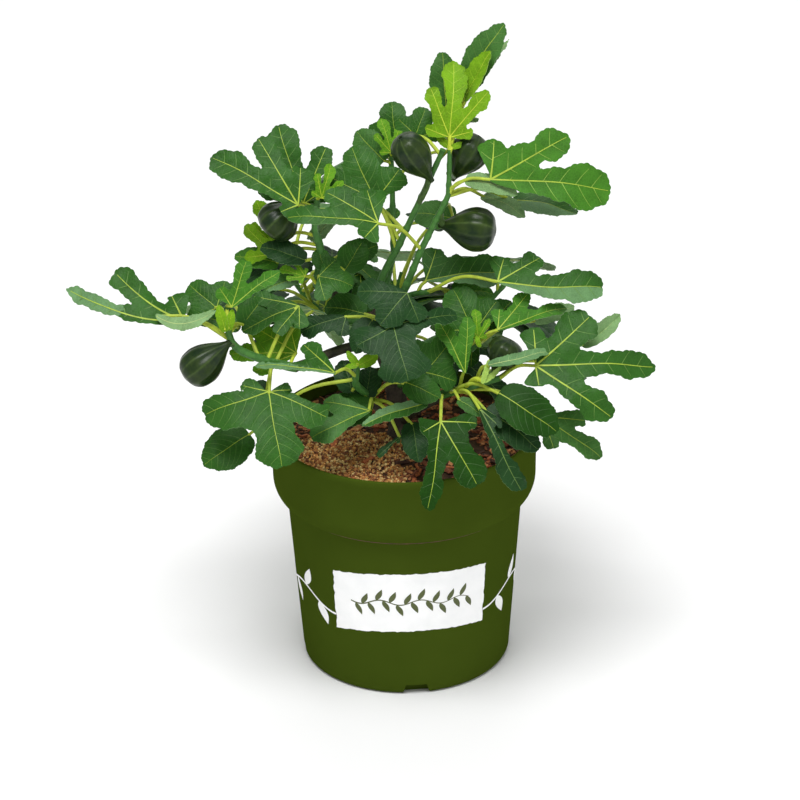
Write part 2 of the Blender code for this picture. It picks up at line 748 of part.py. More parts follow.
def add_blade(shape, leaf, matrix):
    """Add a leaf's blade, thickened, and give its foot as four corners and the face between."""
    foot_half = STALK_HALF / matrix.to_scale().x
    points, faces = blade_faces(leaf.form, foot_half)
    corners = [shape.verts.new(matrix @ bend(point, leaf.left, leaf.right)) for point in points]
    for face in faces:
        shape.faces.new([corners[index] for index in face])
    bmesh.ops.recalc_face_normals(shape, faces=shape.faces)
    shape.normal_update()
    half = LEAF_THICKNESS / 2
    top = {}
    for vertex in corners:
        top[vertex] = shape.verts.new(vertex.co + vertex.normal * half)
    for vertex in corners:
        vertex.co -= vertex.normal * half
    rim = [edge for edge in shape.edges if edge.is_boundary]
    for face in list(shape.faces):
        shape.faces.new([top[vertex] for vertex in face.verts])
    foot = None
    for edge in rim:
        first, second = edge.verts
        side = shape.faces.new((first, second, top[second], top[first]))
        if {first, second} == {corners[0], corners[1]}:
            foot = side
    return foot


def draw_stalk(shape, foot, path):
    """Extrude a blade's foot down the stalk's path into the stem."""
    along = (path[-2] - path[-1]).normalized()
    offsets = []
    for vertex in foot.verts:
        offsets.append(vertex.co - path[-1])
    ring = list(foot.verts)
    shape.faces.remove(foot)
    for place, following in zip(path[-2::-1], path[-1:0:-1]):
        turn = along.rotation_difference((place - following).normalized())
        onward = [shape.verts.new(place + turn @ offset) for offset in offsets]
        for index in range(4):
            after = (index + 1) % 4
            shape.faces.new((ring[index], ring[after], onward[after], onward[index]))
        ring = onward
    shape.faces.new(ring)


def leaf_piece(name, leaf, foot, tip, normal, start):
    """One leaf with its stalk, as a closed mesh object."""
    middle = (start + foot) / 2 + Vector((0, 0, STALK_RISE)) * (foot - start).length
    path = smooth_path([start, middle, foot], STALK_RINGS)
    shape = bmesh.new()
    foot_face = add_blade(shape, leaf, leaf_matrix(foot, tip, normal))
    draw_stalk(shape, foot_face, path)
    bmesh.ops.triangulate(shape, faces=shape.faces)
    bmesh.ops.recalc_face_normals(shape, faces=shape.faces)
    mesh = bpy.data.meshes.new(name)
    shape.to_mesh(mesh)
    shape.free()
    return bpy.data.objects.new(name, mesh)


def make_leaf(name, stem, leaf):
    """A leaf that shows from the front."""
    foot = seen(*leaf.foot, leaf.deep)
    normal = facing(leaf.turn, leaf.lift)
    tip = seen_on_plane(*leaf.tip, foot, normal)
    return leaf_piece(name, leaf, foot, tip, normal, point_at(stem, leaf.at))


def make_fig(name, stem, fig):
    """A pear-shaped fig on its neck, as two overlapping solids."""
    neck = seen(*fig.neck, fig.deep)
    end = seen(*fig.end, fig.end_deep)
    length = (end - neck).length
    along = (end - neck) / length
    radius = fig.radius * MM
    shape = bmesh.new()
    bmesh.ops.create_uvsphere(shape, u_segments=FIG_SIDES, v_segments=FIG_RINGS, radius=1)
    for vertex in shape.verts:
        share = (vertex.co.z + 1) / 2
        width = radius * (1 - FIG_SQUEEZE * (1 - share) ** 2)
        vertex.co = (vertex.co.x * width, vertex.co.y * width, share**FIG_SWELL * length)
    turn = Vector((0, 0, 1)).rotation_difference(along).to_matrix().to_4x4()
    shape.transform(Matrix.Translation(neck) @ turn)
    bmesh.ops.triangulate(shape, faces=shape.faces)
    mesh = bpy.data.meshes.new(name)
    shape.to_mesh(mesh)
    shape.free()
    smooth(mesh)
    path = [point_at(stem, fig.at), neck, neck + along * length * FIG_NECK_SUNK]
    neck_radius = FIG_NECK * radius
    neck_tube = tube(name + "_neck", path, taper(len(path), neck_radius, neck_radius), STEM_SIDES)
    return [neck_tube, bpy.data.objects.new(name, mesh)]


def tree_of(things):
    """A search tree of some objects' faces."""
    corners = []
    faces = []
    for thing in things:
        first = len(corners)
        corners += [vertex.co.copy() for vertex in thing.data.vertices]
        faces += [[first + index for index in face.vertices] for face in thing.data.polygons]
    return BVHTree.FromPolygons(corners, faces)


def crosses(tree, name, masses):
    """Whether a tree of faces crosses any mass but its own, or a limb."""
    others = [grown for other, grown in masses.items() if other != name]
    return any(tree.overlap(piece) for grown in others for piece in grown.trees)


def view_place(point):
    """Where a point shows from the front, as (across, up) in mm about the picture's middle."""
    upward = Vector((0, math.sin(VIEW_RISE), math.cos(VIEW_RISE)))
    eye = eye_point()
    toward = (eye - VIEW_MIDDLE * MM).normalized()
    ray = point - eye
    scale = VIEW_DISTANCE / -ray.dot(toward)
    right = ray.x * scale
    above = ray.dot(upward) * scale
    cos_roll = math.cos(VIEW_ROLL)
    sin_roll = math.sin(VIEW_ROLL)
    return Vector((right * cos_roll - above * sin_roll, right * sin_roll + above * cos_roll))


def in_dense_middle(point):
    """Whether a point shows through the crown's dense middle, and not in one of its windows."""
    if point.y < DENSE_DEPTH:
        return False
    place = view_place(point)
    across = (place.x - DENSE_MIDDLE[0]) / DENSE_REACH[0]
    up = (place.y - DENSE_MIDDLE[1]) / DENSE_REACH[1]
    if across**2 + up**2 > 1:
        return False
    return all((place - Vector(middle)).length > reach for middle, reach in WINDOWS)


def hidden_share(thing, screen):
    """The share of a blade's corners that the crown hides, or has room for, from the front."""
    eye = eye_point()
    corners = [vertex.co for vertex in thing.data.vertices]
    hidden = 0
    for corner in corners:
        ray = corner - eye
        hit = screen.ray_cast(eye, ray.normalized(), ray.length - HIDDEN_MARGIN)
        hidden += hit[0] is not None or in_dense_middle(corner)
    return hidden / len(corners)


def discard(things):
    """Remove objects that aren't kept."""
    for thing in things:
        bpy.data.objects.remove(thing, do_unlink=True)


def lifted(level, lift):
    """A level direction lifted by an angle in degrees."""
    lift = math.radians(lift)
    return level * math.cos(lift) + Vector((0, 0, math.sin(lift)))


def fill_leaf(name, stem, index):
    """One leaf of the filling, drawn by its own seed and turned on by the golden angle."""
    rng = random.Random(f"{FILL_SEED} {name}")
    start = point_at(stem, rng.uniform(FILL_START, 1))
    bearing = index * GOLDEN_TURN + rng.uniform(-FILL_SWAY, FILL_SWAY)
    out = Vector((math.cos(bearing), math.sin(bearing), 0))
    rise = lifted(out, rng.uniform(*FILL_STALK_RISE))
    foot = start + rise * rng.uniform(*FILL_STALK) * MM
    normal = lifted(out, rng.uniform(*FILL_LIFT))
    along = (out - normal * out.dot(normal)).normalized()
    tip = foot + along * rng.uniform(*FILL_LENGTH) * MM
    form = rng.choice(FILL_FORMS)
    leaf = Leaf(0, form, (), 0, (), 0, 0, rng.uniform(*FILL_FOLD), rng.uniform(*FILL_FOLD))
    return leaf_piece(name, leaf, foot, tip, normal, start)


def fuse(name, parts, collection):
    """Join overlapping solids into one, and drop loose scraps and sealed hollows."""
    first, *rest = parts
    group = new_collection(name + "_parts")
    collection.objects.link(first)
    for part in rest:
        group.objects.link(part)
    union = first.modifiers.new("fuse", "BOOLEAN")
    union.operation = "UNION"
    union.operand_type = "COLLECTION"
    union.collection = group
    union.solver = "MANIFOLD"
    solid = evaluated_copy(first, name)
    keep_largest(solid.data)
    discard(parts)
    bpy.data.collections.remove(group)
    solid.name = name
    collection.objects.link(solid)
    return solid


def clip_ears(shape, face):
    """Cut a flat face into triangles, with no new edge where there's one already."""
    while len(face.verts) > 3:
        corners = list(face.verts)
        best = None
        for index, corner in enumerate(corners):
            before = corners[index - 1]
            after = corners[(index + 1) % len(corners)]
            if shape.edges.get((before, after)):
                continue
            arm = corner.co - before.co
            reach = after.co - corner.co
            turn = arm.cross(reach).dot(face.normal)
            if turn <= 0:
                continue
            others = [other.co for other in corners if other not in (before, corner, after)]
            ear = (before.co, corner.co, after.co)
            if any(inside(other, ear, face.normal) for other in others):
                continue
            new_edge = after.co - before.co
            sides = (arm, reach, new_edge)
            worth = turn / sum(side.length_squared for side in sides)
            if best is None or worth > best[0]:
                best = (worth, before, after)
        if best is None:
            return
        piece, _ = bmesh.utils.face_split(face, best[1], best[2])
        face = max((piece, face), key=lambda part: len(part.verts))


def inside(point, ear, normal):
    """Whether a point lies in a triangle that faces along a normal."""
    for start, end in zip(ear, (*ear[1:], ear[0])):
        if (end - start).cross(point - start).dot(normal) < 0:
            return False
    return True


def keep_largest(mesh):
    """Cut a mesh's faces into triangles and keep only its largest connected piece."""
    shape = bmesh.new()
    shape.from_mesh(mesh)
    bmesh.ops.dissolve_limit(shape, angle_limit=FLAT_ANGLE, verts=shape.verts, edges=shape.edges)
    shape.normal_update()
    for face in list(shape.faces):
        clip_ears(shape, face)
    pieces = []
    left = set(shape.faces)
    while left:
        piece = {left.pop()}
        border = list(piece)
        while border:
            face = border.pop()
            near = {other for edge in face.edges for other in edge.link_faces} & left
            left -= near
            piece |= near
            border += near
        pieces.append(piece)
    pieces.sort(key=len)
    spare = [face for piece in pieces[:-1] for face in piece]
    bmesh.ops.delete(shape, geom=spare, context="FACES")
    shape.to_mesh(mesh)
    shape.free()


class Grown:
    """What has grown in one space so far: its pieces and a search tree for each group of them."""

    def __init__(self):
        self.pieces = []
        self.trees = []

    def add(self, group):
        """Keep a group of pieces."""
        self.pieces += group
        self.trees.append(tree_of(group))


def stem_path(name, bough_path):
    """A mass's stem, on from its bough's tip in line with it."""
    tip = bough_path[-1]
    onward = (tip - bough_path[-2]).normalized()
    start = tip + onward * GAP
    spots = [seen(*spot) for spot in MASSES[name].way]
    return [start, *smooth_path([start + onward * STEM_LEAD, *spots], BOUGH_RINGS)]


def keep_if_clear(group, name, masses):
    """Keep a group in its mass unless it would cross another node."""
    if crosses(tree_of(group), name, masses):
        discard(group)
    else:
        masses[name].add(group)


def evaluated_copy(thing, name):
    """A plain copy of an object as its modifiers shape it."""
    depsgraph = bpy.context.evaluated_depsgraph_get()
    mesh = bpy.data.meshes.new_from_object(thing.evaluated_get(depsgraph))
    mesh.name = name
    return bpy.data.objects.new(name, mesh)


def grow_masses(limbs, stems):
    """Grow every mass: its stem, its figs, the leaves that show, and the filling."""
    masses = {"limbs": Grown()}
    guides = [evaluated_copy(limb, limb.name + "_guide") for limb in limbs]
    for guide in guides:
        masses["limbs"].add([guide])
    for name, stem in stems.items():
        radii = taper(len(stem), BOUGHS[name].tip * MM, MASSES[name].tip * MM)
        masses[name] = Grown()
        masses[name].add([tube("mass_" + name, stem, radii, STEM_SIDES)])
    for name, figs in FIGS.items():
        for index, fig in enumerate(figs):
            keep_if_clear(make_fig(f"{name}_fig_{index + 1}", stems[name], fig), name, masses)
    for name, leaves in LEAVES.items():
        for index, leaf in enumerate(leaves):
            keep_if_clear([make_leaf(f"{name}_leaf_{index + 1}", stems[name], leaf)], name, masses)
    fill_masses(masses, stems)
    discard(guides)
    del masses["limbs"]
    return masses


def fill_masses(masses, stems):
    """Fill the masses behind the leaves that show."""
    screen = tree_of([piece for grown in masses.values() for piece in grown.pieces])
    for name, stem in stems.items():
        wanted = MASSES[name].filling
        kept = 0
        for index in range(FILL_TRIES * wanted):
            piece = fill_leaf(f"{name}_fill_{index + 1}", stem, index)
            if not has_room(piece, name, masses, screen):
                discard([piece])
                continue
            masses[name].add([piece])
            kept += 1
            if kept == wanted:
                break


def has_room(piece, name, masses, screen):
    """Whether a filling leaf is clear of all but its stem, and out of sight of the front."""
    tree = tree_of([piece])
    meets_own = any(tree.overlap(other) for other in masses[name].trees[1:])
    if meets_own or crosses(tree, name, masses):
        return False
    return hidden_share(piece, screen) >= HIDDEN_SHARE


def dress(solid, material):
    """Give a solid its one material."""
    solid.data.materials.clear()
    solid.data.materials.append(material)


def main():
    """Build the whole plant."""
    clear_scene()
    plant = new_collection("fig_tree_in_pot")
    cutters = new_collection("cutters")
    materials = {name: principled(name, *look) for name, look in LOOKS.items()}
    pot = make_pot(plant, cutters)
    soil = make_soil(plant)
    trunk = make_trunk(plant)
    for solid, look in ((pot, "pot"), (soil, "soil"), (trunk, "trunk")):
        dress(solid, materials[look])
    space = tube("trunk_space", trunk_path(GAP), trunk_radii(GAP), TRUNK_SIDES)
    clearance = as_cutter(space)
    cutters.objects.link(clearance)
    limbs = [pot, soil, trunk]
    stems = {}
    for name, bough in BOUGHS.items():
        limb, path = make_bough("bough_" + name, bough, clearance, plant)
        dress(limb, materials["bough"])
        limbs.append(limb)
        stems[name] = stem_path(name, path)
    for name, grown in grow_masses(limbs, stems).items():
        dress(fuse("mass_" + name, grown.pieces, plant), materials["leaves"])


main()
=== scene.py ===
"""Looks of the young fig tree in its nursery pot.

The leaves, shoots and figs grow by the same rule and tables as the solids, and are finer.
"""

import math
import random
from typing import NamedTuple

import bmesh
import bpy
import numpy as np
from mathutils import Matrix, Vector, noise
from mathutils.bvhtree import BVHTree
from mathutils.geometry import delaunay_2d_cdt


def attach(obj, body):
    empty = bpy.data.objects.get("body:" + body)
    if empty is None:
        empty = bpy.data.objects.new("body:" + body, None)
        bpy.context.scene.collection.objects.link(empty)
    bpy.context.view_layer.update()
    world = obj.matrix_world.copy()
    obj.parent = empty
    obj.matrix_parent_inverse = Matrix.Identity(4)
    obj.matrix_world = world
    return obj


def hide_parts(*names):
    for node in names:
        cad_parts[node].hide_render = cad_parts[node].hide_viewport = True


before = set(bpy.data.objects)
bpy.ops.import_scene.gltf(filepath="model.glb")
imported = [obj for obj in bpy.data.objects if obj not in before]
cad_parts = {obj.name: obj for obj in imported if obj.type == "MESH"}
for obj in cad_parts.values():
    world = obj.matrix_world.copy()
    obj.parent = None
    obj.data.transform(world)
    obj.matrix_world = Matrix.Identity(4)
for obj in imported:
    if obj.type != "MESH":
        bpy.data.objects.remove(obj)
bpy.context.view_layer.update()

MM = 0.001
GAP = 0.3 * MM

# The front view, which places what shows there: distance and middle in mm, as are all places
# given as seen (across, up, deep)
VIEW_RISE = math.radians(25.75)
VIEW_ROLL = math.radians(0.76)
VIEW_DISTANCE = 3000
VIEW_MIDDLE = Vector((-3.1, 0, 252.7))
VIEW_LENS = 148.84
VIEW_SENSOR = 36

# The way to the front view's eye, the upward way of what it sees, and the eye itself
TO_EYE = Vector((0, -math.cos(VIEW_RISE), math.sin(VIEW_RISE)))
UPWARD = Vector((0, math.sin(VIEW_RISE), math.cos(VIEW_RISE)))
EYE = VIEW_MIDDLE + TO_EYE * VIEW_DISTANCE

# Pot
POT_HEIGHT = 230 * MM
RIM_RADIUS = 121.4 * MM
STEP_RADIUS = 107.7 * MM
STEP_HEIGHT = 164 * MM
RIM_CURVE_HEIGHT = 19 * MM
RIM_CURVE_RADIUS = 120.3 * MM
STEP_SLOPE = 2 * MM
BASE_RADIUS = 96 * MM
BASE_ROUNDING = 5.5 * MM
WALL = 2 * MM
FLOOR = 11 * MM
NOTCH_COUNT = 4
NOTCH_HALF = 12.5 * MM
NOTCH_HEIGHT = 10 * MM
NOTCH_TOP_SHARE = 0.76
NOTCH_DEPTH = 9 * MM
NOTCH_TURN = math.radians(5)

# Soil
SOIL_TOP = 218 * MM
SOIL_EDGE = 214 * MM
SOIL_FLAT_RADIUS = 30 * MM

# Trunk
TRUNK_FOOT = Vector((-1.7, 0, 0)) * MM
TRUNK_TOP = Vector((-31.7, 0, 342)) * MM
TRUNK_BOW = Vector((5, 5, 0)) * MM
TRUNK_FOOT_RADIUS = 9.5 * MM
TRUNK_TOP_RADIUS = 7 * MM
FLARE = 5.5 * MM
FLARE_SHARE = 0.16
TRUNK_RINGS = 9

# Leaves, and the stems that carry them
LEAF_THICKNESS = 0.5 * MM
STALK_RISE = 0.14
ARCH = 0.22
SIDE_DROOP = 0.30
BOUGH_RINGS = 2
STEM_LEAD = 5 * MM

# Leaf outlines: lobes from left to right as (turn in degrees, reach, half width), with the
# reach of the notch between each two, all as shares of the leaf's length
FORMS = {
    "plain_five": (
        ((-92, 0.34, 0.14), (-40, 0.74, 0.17), (0, 1, 0.15), (40, 0.74, 0.17), (92, 0.34, 0.14)),
        (0.27, 0.40, 0.40, 0.27),
    ),
    "broad_five": (
        ((-98, 0.44, 0.20), (-50, 0.82, 0.23), (0, 1, 0.24), (50, 0.82, 0.23), (98, 0.44, 0.20)),
        (0.40, 0.56, 0.56, 0.40),
    ),
    "young_five": (
        ((-76, 0.33, 0.09), (-27, 0.69, 0.12), (0, 1, 0.19), (37, 0.76, 0.12), (75, 0.31, 0.09)),
        (0.31, 0.39, 0.39, 0.26),
    ),
    "uneven_five": (
        ((-70, 0.42, 0.16), (-33, 0.62, 0.16), (0, 1, 0.17), (39, 0.75, 0.13)),
        (0.40, 0.50, 0.50),
    ),
    "wide_five": (
        ((-84, 0.29, 0.10), (-57, 0.80, 0.24), (0, 1, 0.30), (81, 0.85, 0.29), (117, 0.36, 0.13)),
        (0.40, 0.54, 0.56, 0.60),
    ),
    "low_right_five": (
        ((-88, 0.32, 0.10), (-40, 0.64, 0.16), (0, 0.99, 0.12), (37, 0.75, 0.12), (82, 0.18, 0.11)),
        (0.25, 0.38, 0.42, 0.19),
    ),
    "drooping_five": (
        ((-90, 0.40, 0.11), (-33, 0.84, 0.20), (3, 1, 0.12), (52, 0.25, 0.15)),
        (0.36, 0.47, 0.27),
    ),
    "plain_three": (((-52, 0.70, 0.17), (0, 1, 0.17), (52, 0.70, 0.17)), (0.40, 0.40)),
    "far_left_three": (((0, 1, 0.07), (25, 0.72, 0.15), (55, 0.27, 0.10)), (0.44, 0.23)),
    "high_left_three": (
        ((-60, 0.18, 0.09), (0, 1, 0.16), (29, 0.79, 0.13), (64, 0.38, 0.15)),
        (0.15, 0.50, 0.37),
    ),
    "high_left_five": (
        ((-45, 0.60, 0.16), (0, 1, 0.20), (39, 0.755, 0.13), (75, 0.30, 0.12)),
        (0.50, 0.42, 0.30),
    ),
    "high_right_three": (((-86, 0.33, 0.125), (-32, 0.74, 0.135), (0, 1, 0.21)), (0.34, 0.41)),
    "mid_right_three": (((-78, 0.28, 0.13), (-38, 0.50, 0.14), (0, 1, 0.17)), (0.27, 0.38)),
    "level_three": (
        ((-60, 0.30, 0.14), (0, 1, 0.14), (28, 0.68, 0.16), (66, 0.42, 0.19)),
        (0.26, 0.55, 0.44),
    ),
    "pale_three": (((-30, 0.62, 0.15), (0, 1, 0.16), (40, 0.50, 0.13)), (0.49, 0.48)),
    "bright_three": (((-80, 0.38, 0.13), (-31, 0.83, 0.14), (3, 1, 0.13)), (0.27, 0.47)),
    "light_three": (((-60, 0.30, 0.10), (-28, 0.68, 0.13), (2, 1, 0.11)), (0.30, 0.50)),
    "round_three": (((-36, 0.90, 0.27), (0, 1, 0.30), (60, 0.68, 0.24)), (0.88, 0.66)),
    "dark_three": (((-92, 1.10, 0.17), (0, 1, 0.44), (74, 0.68, 0.28)), (0.44, 0.58)),
    "wide_three": (((-112, 0.62, 0.25), (-52, 0.86, 0.27), (0, 1, 0.29)), (0.68, 0.84)),
    "forked": (((-3, 1, 0.14), (27, 0.93, 0.13)), (0.62,)),
    "arched": (((-62, 0.46, 0.18), (0, 1, 0.24)), (0.52,)),
    "broad": (((-62, 0.78, 0.27), (0, 1, 0.33), (62, 0.78, 0.27)), (0.70, 0.70)),
    "four_low": (
        ((-24, 0.70, 0.12), (0, 1, 0.14), (32, 0.82, 0.14), (74, 0.48, 0.17)),
        (0.58, 0.62, 0.42),
    ),
    "pointed_two": (((-4, 1, 0.075), (30, 0.52, 0.13)), (0.40,)),
    "folded_two": (((-6, 1, 0.22), (34, 0.74, 0.15)), (0.56,)),
    "spoon": (((-20, 0.30, 0.07), (0, 1, 0.14)), (0.25,)),
    "even": (((0, 1, 0.31),), ()),
    "wavy": (((0, 1, 0.25),), ()),
    "strip": (((0, 1, 0.11),), ()),
    "sliver": (((0, 1, 0.045),), ()),
    "oval": (((0, 1, 0.38),), ()),
    "slim": (((0, 1, 0.20),), ()),
}

# Corners of half a lobe of a lobed leaf, and of half a plain one, with their ends, as (share of
# the reach, share of the half width)
HALF_LOBE = ((0.58, 0.80), (0.80, 1.02), (0.955, 0.60))
HALF_OVAL = ((0.04, 0.62), (0.34, 1.05), (0.77, 0.86))
LOBE_END = (1.005, 0)
OVAL_END = (1.01, 0)


class Bough(NamedTuple):
    """A limb: the share of the trunk where it leaves, its end radii in mm, and its way as seen."""

    at: float
    foot: float
    tip: float
    way: tuple


class Mass(NamedTuple):
    """A mass of leaves: its stem's way as seen, its end radius, and how many leaves fill it."""

    way: tuple
    tip: float
    filling: int


class Leaf(NamedTuple):
    """A leaf that shows from the front.

    It leaves its stem at a share of it. Its foot and tip are as seen from the front, its upper
    face looks the way of the turn and the lift, and each half folds up by an angle in degrees.
    A part of it may be pale, with the sheen tint painted on it as a painted sheen, and its middle
    line may bow to the right.
    """

    at: float
    form: str
    foot: tuple
    deep: float
    tip: tuple
    turn: float
    lift: float
    left: float = 8
    right: float = 8
    tint: str = "mature"
    pale: str = ""
    bow: float = 0


class Fig(NamedTuple):
    """A fig: the share of the stem where it leaves, its two ends as seen, and its radius in mm."""

    at: float
    neck: tuple
    deep: float
    end: tuple
    end_deep: float
    radius: float


BOUGHS = {
    "top": Bough(0.70, 4.4, 3.6, ((5, 102, -16), (16, 129, -20))),
    "second": Bough(0.98, 4.6, 3.8, ((-14, 116, -8), (-6, 131, -8))),
    "back_top": Bough(0.90, 4.2, 3.4, ((-12, 108, 26), (-7, 129, 32))),
    "upper_left": Bough(0.72, 5.0, 3.8, ((-52, 90, -10), (-71, 102, -8))),
    "left": Bough(0.66, 4.8, 4.0, ((-45, 48, -25), (-91, 31, -60))),
    "front": Bough(0.21, 4.6, 3.8, ((-14, -12, -35), (-25, 0, -45))),
    "centre": Bough(0.56, 4.0, 3.4, ((-11, 54, -22), (-7, 60, -38))),
    "mid_right": Bough(0.60, 4.2, 3.4, ((-6, 84, 14), (7, 94, 10))),
    "right": Bough(0.36, 4.6, 3.8, ((23, 25, -20), (50, 38, -35))),
    "right_low": Bough(0.09, 4.6, 4.0, ((18, -7, -30), (36, 3, -45))),
    "back_left": Bough(0.52, 4.6, 3.8, ((-40, 62, 40), (-62, 72, 62))),
    "back_right": Bough(0.44, 4.6, 3.8, ((22, 50, 40), (52, 62, 66))),
    "back": Bough(0.30, 4.4, 3.6, ((-12, 32, 42), (-8, 48, 72))),
}

MASSES = {
    "top": Mass(((44, 186, -16), (45, 227, -8)), 2.6, 5),
    "second": Mass(((18, 181, -14), (39, 227, -22)), 2.8, 5),
    "back_top": Mass(((-7, 190, 42), (-8, 224, 45)), 2.6, 5),
    "upper_left": Mass(((-72, 134, -8), (-77, 156, -6), (-75, 183, -4)), 2.6, 6),
    "left": Mass(((-125, 37, -66), (-152, 52, -70), (-157, 85, -70)), 2.8, 5),
    "front": Mass(((-40, 15, -62), (-38, 33, -66)), 2.6, 2),
    "centre": Mass(((-4, 67, -48), (0, 80, -52)), 2.6, 2),
    "mid_right": Mass(((16, 97, 4), (27, 98, 0)), 2.6, 3),
    "right": Mass(((61, 44, -40), (71, 50, -45)), 2.6, 3),
    "right_low": Mass(((59, 11, -55), (91, 20, -62)), 2.6, 4),
    "back_left": Mass(((-84, 92, 84), (-104, 118, 96)), 2.6, 14),
    "back_right": Mass(((76, 84, 88), (98, 108, 100)), 2.6, 14),
    "back": Mass(((-6, 78, 96), (2, 116, 112)), 2.6, 14),
}

# Stems that the photograph shows a little off the solids' own, and how many places along a stem
# a moved stalk may start from
SHOOT_WAYS = {"top": ((30, 158, -18), (42, 182, -16), (44, 192, -15), (45, 227, -8))}
SHOOT_PLACES = 40
